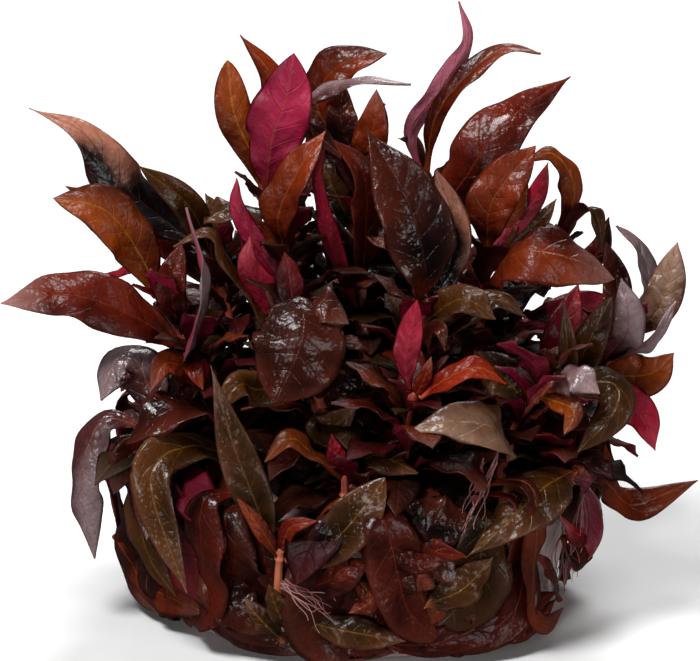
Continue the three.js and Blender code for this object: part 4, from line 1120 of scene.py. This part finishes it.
def leaf_skin():
    """Veins, mottling with a painted shade towards a leaf's base and one side, margins that are a painted rim
    light where they are lighter, a paler tip that is partly a painted sheen, darkening with age that is a
    painted shade on the inner leaves, the underside and the fine quilting of a leaf, shared by every leaf
    tone.
    """
    group = bpy.data.node_groups.get("Leaf skin")
    if group:
        return group
    group = bpy.data.node_groups.new("Leaf skin", "ShaderNodeTree")
    for name in SKIN_COLOURS:
        group.interface.new_socket(name, in_out="INPUT", socket_type="NodeSocketColor")
    for name, value in SKIN_NUMBERS.items():
        socket = group.interface.new_socket(name, in_out="INPUT", socket_type="NodeSocketFloat")
        socket.default_value = value
    for name, kind in SKIN_RESULTS.items():
        group.interface.new_socket(name, in_out="OUTPUT", socket_type="NodeSocket" + kind)
    entry, leave = group.nodes.new("NodeGroupInput"), group.nodes.new("NodeGroupOutput")
    tint = {name: entry.outputs[name] for name in SKIN_COLOURS}
    given = {name: Amount(group, entry.outputs[name]) for name in SKIN_NUMBERS}

    across, along = on_blade(group)
    side, seed, half, age, wetness = (
        attribute(group, name) for name in ("side", "seed", "half", "age", "wet"))
    under = (side * -1).within(0, 1)
    reach = abs(across) * half * (1 / MM)
    spot = on_piece(group)

    # The mottle between the deep and the upper colour: random patches, plus a painted shade that darkens the
    # base of a leaf (fade) and one of its sides (lean).
    broad, fine = noise(group, spot, 130.0), noise(group, spot, 1000.0, 2.0)
    lean = across * (((seed * 7).take("FRACT") - 0.5) * 1.3 + given["Lean"])
    fade = (along - given["Fade start"]) * given["Fade"]
    mottle = ((broad - 0.5) * 2.2 + (fine - 0.5) * 0.5 + fade + lean).within(0, 1)
    gap = abs(vein_phase(along, across).take("FRACT") - 0.5) * -1 + 0.5
    vein = ((gap / VEIN_WIDTH) ** 2 * -1).take("EXPONENT") * (1 - abs(across) ** 3)
    midrib = ((reach / MIDRIB_WIDTH) ** 2 * -1).take("EXPONENT") * (1 - along * 0.5)
    colour = mix(group, mottle, tint["Deep"], tint["Upper"])
    # Margins lighter than the upper side, as in wine, ebony and olive, are a painted rim light; darker
    # margins are the leaf's own.
    colour = mix(group, (abs(across) ** 5 * 0.6).within(0, 1), colour, tint["Margin"])
    beneath = mix(group, (1 - mottle) * 0.5, tint["Under"], tint["Deep"])
    colour = mix(group, under * 0.9, colour, beneath)
    colour = mix(group, (midrib * 0.7).take("MAXIMUM", vein * fine * 0.35), colour, tint["Vein"])
    stalk = ((STALK_SHARE - along) / 0.12).within(0, 1)
    colour = mix(group, stalk * 0.8, colour, tint["Stalk"])
    # A paler tip: partly the leaf's own paling, and partly a painted sheen.
    tip = ((along - 0.75) / 0.25).within(0, 1) * attribute(group, "pale")
    colour = mix(group, tip * (0.5 + broad * 0.6), colour, linear(PALE_TIP_AND_SHEEN))
    # Lighter or darker at random, and darker with age: real wear on worn leaves, and a painted shade on the
    # inner leaves, whose age is greatest near the foot of their stem.
    lightness_and_shade = (0.75 + seed * 0.5) * (1 - age * 0.5)
    colour = place_node(group, "ShaderNodeVectorMath", {0: colour, "Scale": lightness_and_shade},
                        operation="SCALE").outputs[0]

    cells = place_node(group, "ShaderNodeTexVoronoi", {"Vector": spot, "Scale": WRINKLES}, feature="F1")
    dome = 1 - Amount(group, cells.outputs["Distance"]) * 1.3
    wet = ((noise(group, spot, 60.0, 2.0) - 0.58 + wetness * 0.2) * 3.5).within(0, 1)
    wet = wet * (wetness * 1.6).within(0, 1) * (1 - under * 0.7)
    roughness = given["Gloss"] + (broad - 0.45) * 0.2 + under * 0.16 + age * 0.1 - wet * 0.12
    results = {
        "Colour": colour, "Glow": mix(group, midrib * 0.4, colour, tint["Vein"]), "Wet": wet * 0.8,
        "Roughness": roughness.within(0.08, 0.9),
        "Height": dome * (0.2 + wet * 0.26) + fine * 0.7 + broad * 0.6 - vein * 0.3 - midrib * 0.5,
    }
    for name, value in results.items():
        feed(group, value, leave.inputs[name])
    return group


# Each leaf tone: upper side, deeper patches, veins, margin, underside, stalk, then roughness, how much light
# comes through and how strongly it shines. A margin lighter than its upper side is a painted rim light, and
# some tones paint shade or sheen, as noted at each.
LEAF_TONES = {
    "amber": ("#883806", "#4c1803", "#ac7018", "#441404", "#94103a", "#a04c34", 0.34, 0.34, 0.25),
    "rust": ("#7c2a08", "#340802", "#8e4814", "#380a04", "#a80a42", "#84320e", 0.32, 0.32, 0.28),
    "wine": ("#581404", "#1a0302", "#70260e", "#5e2a22", "#8a0c32", "#802412", 0.3, 0.28, 0.2),
    "ebony": ("#42150a", "#0a0202", "#40160a", "#502820", "#580a22", "#5e200e", 0.26, 0.2, 0.22),
    # A leaf whose base lies in shade and whose tip catches the light: its near-black deep colour is a painted
    # shade, and its light upper colour is partly a painted sheen.
    "dusk": ("#905a46", "#060203", "#3c1c14", "#3a140c", "#580a22", "#2a120c", 0.36, 0.16, 0.38),
    "olive": ("#462408", "#1c0e02", "#765016", "#664230", "#6c141a", "#9a4e2c", 0.3, 0.3, 0.25),
    # Its grey-lilac upper side, which it reaches towards the tip, is partly a painted sheen on a dark maroon
    # leaf.
    "mauve": ("#786466", "#401a1a", "#82483c", "#421816", "#821c36", "#7c3428", 0.3, 0.22, 0.62),
    "tan": ("#7c5e4a", "#46291a", "#8c6038", "#582408", "#8c3036", "#8a5024", 0.34, 0.3, 0.5),
    "flame": ("#762004", "#560a04", "#94401a", "#6c0e08", "#b0103a", "#a8462c", 0.32, 0.3, 0.18),
    "crimson": ("#880418", "#3e0208", "#941e28", "#660610", "#9a082c", "#92241a", 0.36, 0.38, 0.28),
    # Umber, maroon and moss are dull copies of the dark tones with less shine, for the inner leaves: a
    # painted shade for the inside of the clump.
    "umber": ("#461808", "#180603", "#54240e", "#220804", "#660e22", "#62240e", 0.41, 0.34, 0.12),
    "maroon": ("#560c10", "#200406", "#641c1c", "#280406", "#800a2a", "#6c241a", 0.41, 0.38, 0.12),
    "blush": ("#8c4648", "#541a22", "#8c3a44", "#70303c", "#aa5c70", "#a03448", 0.32, 0.34, 0.38),
    "moss": ("#3c240a", "#1a0e03", "#624a12", "#281204", "#541618", "#54300e", 0.41, 0.34, 0.12),
}

# How fast a tone lightens to the tip, from where on, and how much more to one side, where it isn't as usual.
# The darker base and side are partly a painted shade; in the tone with a near-black base they paint a shaded
# base and a tip in sheen, and in mauve the grey towards the tip is a painted sheen.
FADES = {"dusk": (3.4, 0.52, 0.7), "mauve": (2.0, 0.3, 0.0)}


def linear(text):
    """A colour written as a hex code, as Blender's linear numbers."""
    parts = [int(text[i:i + 2], 16) / 255 for i in (1, 3, 5)]
    return tuple(p / 12.92 if p <= 0.04045 else ((p + 0.055) / 1.055) ** 2.4 for p in parts)


def bump(tree, height, distance):
    """The normal of a surface with that height, in metres."""
    return place_node(tree, "ShaderNodeBump", {"Height": height, "Distance": distance}).outputs[0]


def leaf_shader(tree, finish):
    """A leaf: its skin, with light that comes through it."""
    *colours, gloss, through, shine = LEAF_TONES[finish]
    skin = tree.nodes.new("ShaderNodeGroup")
    skin.node_tree = leaf_skin()
    for name, colour in zip(SKIN_COLOURS, colours):
        skin.inputs[name].default_value = (*linear(colour), 1.0)
    for name, value in zip(SKIN_NUMBERS, (gloss, *FADES.get(finish, ()))):
        skin.inputs[name].default_value = value
    normal = bump(tree, skin.outputs["Height"], 0.00024)
    shell = place_node(tree, "ShaderNodeBsdfPrincipled", {
        "Base Color": skin.outputs["Colour"], "Roughness": skin.outputs["Roughness"], "Normal": normal,
        "Coat Weight": skin.outputs["Wet"], "Coat Roughness": 0.12, "Coat IOR": 1.4,
        "Specular IOR Level": shine,
    })
    glow = place_node(tree, "ShaderNodeBsdfTranslucent", {"Color": skin.outputs["Glow"], "Normal": normal})
    return place_node(tree, "ShaderNodeMixShader", {0: through, 1: shell.outputs[0], 2: glow.outputs[0]})


def stem_shader(tree):
    """A stem: streaked along its length, and paler where it is young."""
    across, along = on_blade(tree)
    spot = on_piece(tree)
    streaks = place_node(tree, "ShaderNodeCombineXYZ",
                         {0: across * 3, 1: along * 2, 2: attribute(tree, "seed") * 9})
    streak = noise(tree, streaks.outputs[0], 3.0)
    colour = mix(tree, (along * 1.1).within(0, 1), linear("#8c3a34"), linear("#6c1c1c"))
    colour = mix(tree, ((streak - 0.42) * 3).within(0, 1), colour, linear("#a85a3c"))
    colour = mix(tree, attribute(tree, "age") * 0.8, colour, linear("#c4704c"))
    return place_node(tree, "ShaderNodeBsdfPrincipled", {
        "Base Color": colour, "Roughness": 0.3 + noise(tree, spot, 400.0) * 0.2,
        "Coat Weight": 0.4, "Coat Roughness": 0.1,
        "Normal": bump(tree, streak + noise(tree, spot, 1800.0) * 0.3, 0.00015),
    })


def root_shader(tree):
    """A root: pale pink in the gel, and dark in the open."""
    spot = on_piece(tree)
    colour = mix(tree, attribute(tree, "seed"), linear("#d9a39c"), linear("#b0625e"))
    colour = mix(tree, noise(tree, spot, 220.0), colour, linear("#e6c9bf"))
    colour = mix(tree, attribute(tree, "age"), colour, linear("#5e2426"))
    return place_node(tree, "ShaderNodeBsdfPrincipled", {
        "Base Color": colour, "Roughness": 0.45 + noise(tree, spot, 700.0) * 0.2,
        "Normal": bump(tree, noise(tree, spot, 2500.0), 0.00008),
    })


def gel_shader(tree):
    """The gel: clear, a little clouded, and softly uneven."""
    spot = on_piece(tree)
    return place_node(tree, "ShaderNodeBsdfPrincipled", {
        "Base Color": mix(tree, noise(tree, spot, 60.0), linear("#f2dcd6"), linear("#e8c4bd")),
        "Roughness": 0.12 + noise(tree, spot, 300.0) * 0.16,
        "Transmission Weight": 0.62, "IOR": 1.34,
        "Normal": bump(tree, noise(tree, spot, 180.0) + noise(tree, spot, 900.0) * 0.2, 0.0004),
    })


def floor_shader(tree, colour):
    """A plain matt floor."""
    return place_node(tree, "ShaderNodeBsdfPrincipled", {"Base Color": (*colour, 1.0), "Roughness": 0.7})


def surface(name, shader, *spec):
    """A new material that shows what a shader function makes in its tree."""
    material = bpy.data.materials.new(name)
    material.use_nodes = True
    tree = material.node_tree
    tree.nodes.clear()
    end = tree.nodes.new("ShaderNodeOutputMaterial")
    tree.links.new(shader(tree, *spec).outputs[0], end.inputs[0])
    return material


# The finishes that aren't a leaf's: the name of each one's material, and what makes its shader
SHADERS = {
    "stem": ("Stem skin", stem_shader), "root": ("Root skin", root_shader), "gel": ("Clear gel", gel_shader),
}


MATERIALS = {}


def finish_material(finish):
    """The material of a finish, which is made once."""
    if finish not in MATERIALS:
        MATERIALS[finish] = surface(*SHADERS.get(finish, ("Leaf " + finish, leaf_shader, finish)))
    return MATERIALS[finish]


# Settings

class ClumpLeafSettings(bpy.types.PropertyGroup):
    large_sides: IntProperty(name="Large facets", description="Facets round a large blade", default=32,
                             min=8, max=64)
    small_sides: IntProperty(name="Small facets", description="Facets round a small blade", default=20,
                             min=8, max=48)
    thickness: FloatProperty(name="Thickness", description="Thickness of a blade beside its midrib",
                             default=0.34 * MM, unit="LENGTH", precision=5)
    stalk: FloatProperty(name="Stalk thickness", description="Thickness of a leaf's stalk",
                         default=0.95 * MM, unit="LENGTH", precision=5)
    rib_height: FloatProperty(name="Midrib height", description="How far the midrib stands out below",
                              default=0.42 * MM, unit="LENGTH", precision=5)
    rib_width: FloatProperty(name="Midrib width", description="Half the width of the midrib's groove",
                             default=0.5 * MM, unit="LENGTH", precision=5)
    quilting: FloatProperty(name="Quilting", description="How far the blade swells between its side veins",
                            default=0.24 * MM, unit="LENGTH", precision=5)
    wave: FloatProperty(name="Wave", description="Height of the waves of a blade 8 mm wide",
                        default=0.9 * MM, unit="LENGTH", precision=5)
    crumple: FloatProperty(name="Crumple", description="Height of a blade's uneven swells",
                           default=0.38 * MM, unit="LENGTH", precision=5)
    crumple_scale: FloatProperty(name="Crumple scale", description="Swells to the metre", default=130.0)


class ClumpStemSettings(bpy.types.PropertyGroup):
    sides: IntProperty(name="Stem facets", description="Facets round a stem", default=12, min=5, max=32)
    sunk: FloatProperty(name="Sunk", description="How far a stem goes down into the gel",
                        default=5 * MM, unit="LENGTH", precision=5)
    inner_count: IntProperty(name="Inner leaves", description="Small inner leaves on each tall shoot",
                             default=24, min=0, max=60)
    inner_length: FloatProperty(name="Inner length", description="Length of a small inner leaf",
                                default=15 * MM, unit="LENGTH", precision=5)
    inner_low: FloatProperty(name="Inner lowest", description="Where the inner leaves start on a stem",
                             default=0.08, subtype="FACTOR")
    inner_high: FloatProperty(name="Inner highest", description="Where the inner leaves end on a stem",
                              default=0.98, subtype="FACTOR")
    wall_count: IntProperty(name="Wall leaves", description="Small leaves pressed against the gel",
                            default=66, min=0, max=120)


class ClumpRootSettings(bpy.types.PropertyGroup):
    count: IntProperty(name="Roots", description="How many roots the gel holds", default=340)
    sides: IntProperty(name="Root facets", description="Facets round a root", default=5)
    thickness: FloatProperty(name="Root thickness", description="Thickness of a root where it starts",
                             default=0.5 * MM, unit="LENGTH", precision=5)


class ClumpGelSettings(bpy.types.PropertyGroup):
    sides: IntProperty(name="Gel facets", description="Facets round the puck", default=128)
    edge: FloatProperty(name="Rim edge", description="Radius of the puck's upper edge",
                        default=0.9 * MM, unit="LENGTH", precision=5)


class ClumpStageSettings(bpy.types.PropertyGroup):
    floor_size: FloatProperty(name="Floor", description="Width of the floor", default=4.0, unit="LENGTH")
    floor_colour: FloatVectorProperty(name="Floor colour", description="Colour of the floor",
                                      subtype="COLOR", default=(0.6, 0.6, 0.6), min=0, max=1)
    key_power: FloatProperty(name="Key light", description="Power of the main light", default=12.4,
                             unit="POWER")
    fill_power: FloatProperty(name="Fill light", description="Power of the fill light", default=4.0,
                              unit="POWER")
    front_power: FloatProperty(name="Front light", description="Power of the low light in front", default=2.6,
                               unit="POWER")
    back_power: FloatProperty(name="Back light", description="Power of the light from behind", default=8.0,
                              unit="POWER")
    sky: FloatProperty(name="Sky", description="Strength of the even light all round", default=0.07)


# Operators

def grow_shoot(scene, shoot, seed, inner):
    """Grows a shoot's stem, its smaller leaves and its inner leaves as one piece."""
    strands = [stem_strand(shoot, seed * 0.37 % 1, scene.clump_stems)]
    small = [spec for spec in shoot["leaves"] if not spec["name"]]
    if inner:
        small += inner_leaves(shoot, seed, scene.clump_stems)
    strands += [leaf_strand(spec, spread(seed, 3 * number)) for number, spec in enumerate(small)]
    grow(shoot["name"] + "_growth", strands, shoot["name"], scene.clump_leaves.small_sides,
         scene.clump_stems.sides)


# How far the top of the gel dips in its middle, and how far its edge is drawn in
GEL_DIP = 0.25
GEL_INSET = 0.1


def gel_profile(edge):
    """The puck's outline as radius and height, from the middle of its foot to the middle of its top."""
    foot = GEL_FOOT_RADIUS - GEL_EDGE_RADIUS
    eighths = [k / 8 for k in range(1, 9)]
    profile = [(foot * k / 6, 0.0) for k in range(7)]
    for share in eighths:
        turn = math.pi / 2 * share
        profile.append((foot + GEL_EDGE_RADIUS * math.sin(turn), GEL_EDGE_RADIUS * (1 - math.cos(turn))))
    for share in eighths:
        height = GEL_EDGE_RADIUS + (GEL_HEIGHT - edge - GEL_EDGE_RADIUS) * share
        up = (height - GEL_EDGE_RADIUS) / (GEL_HEIGHT - GEL_EDGE_RADIUS)
        profile.append((GEL_FOOT_RADIUS + (GEL_RIM_RADIUS - GEL_FOOT_RADIUS) * up, height))
    for share in eighths[1::2]:
        turn = math.pi / 2 * share
        profile.append((GEL_RIM_RADIUS - edge + edge * math.cos(turn) - GEL_INSET,
                        GEL_HEIGHT - edge + edge * math.sin(turn)))
    for share in eighths:
        dip = GEL_DIP * math.sin(math.pi / 2 * share)
        profile.append(((GEL_RIM_RADIUS - edge) * (1 - share), GEL_HEIGHT - dip))
    return profile


def turned_mesh(name, profile, sides):
    """The profile turned round the axis, from one point on it to another."""
    points = [Vector((0, 0, profile[0][1]))]
    rings = profile[1:-1]
    for radius, height in rings:
        for k in range(sides):
            turn = 2 * math.pi * k / sides
            points.append(Vector((radius * math.cos(turn), radius * math.sin(turn), height)))
    points.append(Vector((0, 0, profile[-1][1])))
    faces = [(0, 1 + (k + 1) % sides, 1 + k) for k in range(sides)]
    for ring in range(len(rings) - 1):
        a, b = 1 + ring * sides, 1 + (ring + 1) * sides
        faces += [(a + k, a + (k + 1) % sides, b + (k + 1) % sides, b + k) for k in range(sides)]
    top = 1 + (len(rings) - 1) * sides
    faces += [(len(points) - 1, top + k, top + (k + 1) % sides) for k in range(sides)]
    mesh = bpy.data.meshes.new(name)
    mesh.from_pydata([point * MM for point in points], [], faces)
    mesh.shade_smooth()
    return mesh


class CLUMP_OT_gel(bpy.types.Operator):
    """Form the puck of clear gel"""
    bl_idname = "clump.form_gel"
    bl_label = "Form gel"

    def execute(self, context):
        sizes = context.scene.clump_gel
        mesh = turned_mesh("gel_clear", gel_profile(sizes.edge / MM), sizes.sides)
        mesh.materials.append(finish_material("gel"))
        piece = bpy.data.objects.new("gel_clear", mesh)
        context.scene.collection.objects.link(piece)
        settle(piece, "gel_puck")
        return {"FINISHED"}


class CLUMP_OT_roots(bpy.types.Operator):
    """Grow the fine roots through the gel"""
    bl_idname = "clump.grow_roots"
    bl_label = "Grow roots"

    def execute(self, context):
        scene = context.scene
        grow("root_fibres", root_strands(scene.clump_roots), "root_mat",
             scene.clump_leaves.small_sides, scene.clump_roots.sides)
        return {"FINISHED"}


class CLUMP_OT_front(bpy.types.Operator):
    """Grow the shoots of the front with their smaller leaves"""
    bl_idname = "clump.grow_front"
    bl_label = "Grow front shoots"

    def execute(self, context):
        for number, spec in enumerate(FRONT_SHOOTS):
            grow_shoot(context.scene, front_shoot(spec), number + 1, inner=not spec["young"])
        return {"FINISHED"}


class CLUMP_OT_rim(bpy.types.Operator):
    """Grow the shoots whose leaves hang over the rim"""
    bl_idname = "clump.grow_rim"
    bl_label = "Grow rim shoots"

    def execute(self, context):
        shoots = [rim_shoot(number, *spec) for number, spec in enumerate([*RIM_SHOOTS.items(), *back_rim()])]
        for blade in [*wall_leaves(context.scene.clump_stems), *bed_leaves()]:
            nearest = min(shoots, key=lambda shoot: (shoot["line"][0] - blade["points"][0]).length)
            nearest["leaves"].append(blade)
        for number, shoot in enumerate(shoots):
            grow_shoot(context.scene, shoot, RIM_SEED + number, inner=False)
        return {"FINISHED"}


class CLUMP_OT_back(bpy.types.Operator):
    """Grow the shoots of the back half"""
    bl_idname = "clump.grow_back"
    bl_label = "Grow back shoots"

    def execute(self, context):
        for number, shoot in enumerate(back_shoots()):
            grow_shoot(context.scene, shoot, BACK_SEED + number, inner=True)
        return {"FINISHED"}


class CLUMP_OT_leaves(bpy.types.Operator):
    """Grow the large leaves of the front, each a piece of its own"""
    bl_idname = "clump.grow_leaves"
    bl_label = "Grow large leaves"

    def execute(self, context):
        scene = context.scene
        blades = [blade for spec in FRONT_SHOOTS for blade in front_shoot(spec)["leaves"] if blade["name"]]
        for number, blade in enumerate(blades):
            grow(blade["name"] + "_blade", [leaf_strand(blade, spread(number + 1, 5))], blade["name"],
                 scene.clump_leaves.large_sides, scene.clump_stems.sides)
        return {"FINISHED"}


# Each lamp's place and width in metres. Its power is a setting.
LAMPS = {
    "key": ((-0.3, -0.4, 0.8), 0.26), "fill": ((0.75, -0.65, 0.12), 0.4),
    "front": ((-0.4, -0.85, 0.2), 0.25), "back": ((0.15, 0.5, 0.7), 0.4),
}
LAMP_AIM = (0, 0, 0.04)


class CLUMP_OT_stage(bpy.types.Operator):
    """Set the floor, the lights and the camera"""
    bl_idname = "clump.set_stage"
    bl_label = "Set stage"

    def execute(self, context):
        scene, stage = context.scene, context.scene.clump_stage
        half = stage.floor_size / 2
        mesh = bpy.data.meshes.new("floor")
        mesh.from_pydata([(-half, -half, 0), (half, -half, 0), (half, half, 0), (-half, half, 0)], [],
                         [(0, 1, 2, 3)])
        mesh.materials.append(surface("Floor", floor_shader, stage.floor_colour))
        floor = bpy.data.objects.new("floor", mesh)
        scene.collection.objects.link(floor)
        floor.visible_glossy = False

        world = bpy.data.worlds.new("Studio")
        world.use_nodes = True
        backdrop = next(n for n in world.node_tree.nodes if n.type == "BACKGROUND")
        backdrop.inputs[0].default_value = (1.0, 1.0, 1.0, 1.0)
        backdrop.inputs[1].default_value = stage.sky
        scene.world = world
        scene.view_settings.view_transform = "Standard"

        for name, (place, width) in LAMPS.items():
            data = bpy.data.lights.new(name, "AREA")
            data.shape, data.size, data.energy = "SQUARE", width, getattr(stage, name + "_power")
            lamp = bpy.data.objects.new(name, data)
            lamp.location = place
            lamp.rotation_euler = (Vector(LAMP_AIM) - Vector(place)).to_track_quat("-Z", "Y").to_euler()
            scene.collection.objects.link(lamp)

        up = Vector((0, math.sin(EYE_TILT), math.cos(EYE_TILT)))
        toward = Vector((0, -math.cos(EYE_TILT), math.sin(EYE_TILT)))
        lens = bpy.data.cameras.new("eye")
        lens.sensor_width = 36.0
        lens.lens = lens.sensor_width * EYE_DISTANCE / VIEW_WIDTH
        eye = bpy.data.objects.new("eye", lens)
        eye.location = (Vector((EYE_RIGHT, 0, 0)) + up * EYE_UP + toward * (MIDDLE_NEAR + EYE_DISTANCE)) * MM
        eye.rotation_euler = (math.pi / 2 - EYE_TILT, 0, 0)
        scene.collection.objects.link(eye)
        scene.camera = eye
        return {"FINISHED"}


class CLUMP_PT_panel(bpy.types.Panel):
    """Lists what grows the clump"""
    bl_idname = "CLUMP_PT_panel"
    bl_label = "Mini alternanthera clump"
    bl_space_type = "VIEW_3D"
    bl_region_type = "UI"
    bl_category = "Clump"

    def draw(self, context):
        for operator in OPERATORS:
            self.layout.operator(operator.bl_idname)
        for name in SETTINGS:
            settings = getattr(context.scene, name)
            box = self.layout.box()
            for key in type(settings).__annotations__:
                box.prop(settings, key)


OPERATORS = (CLUMP_OT_gel, CLUMP_OT_roots, CLUMP_OT_front, CLUMP_OT_rim, CLUMP_OT_back, CLUMP_OT_leaves,
             CLUMP_OT_stage)
SETTINGS = {
    "clump_leaves": ClumpLeafSettings, "clump_stems": ClumpStemSettings, "clump_roots": ClumpRootSettings,
    "clump_gel": ClumpGelSettings, "clump_stage": ClumpStageSettings,
}


def register():
    for kind in (*SETTINGS.values(), *OPERATORS, CLUMP_PT_panel):
        bpy.utils.register_class(kind)
    for name, kind in SETTINGS.items():
        setattr(bpy.types.Scene, name, PointerProperty(type=kind))


def unregister():
    for name in SETTINGS:
        delattr(bpy.types.Scene, name)
    for kind in reversed((*SETTINGS.values(), *OPERATORS, CLUMP_PT_panel)):
        bpy.utils.unregister_class(kind)


def main():
    register()
    for operator in OPERATORS:
        group, name = operator.bl_idname.split(".")
        getattr(getattr(bpy.ops, group), name)()


if __name__ == "__main__":
    main()
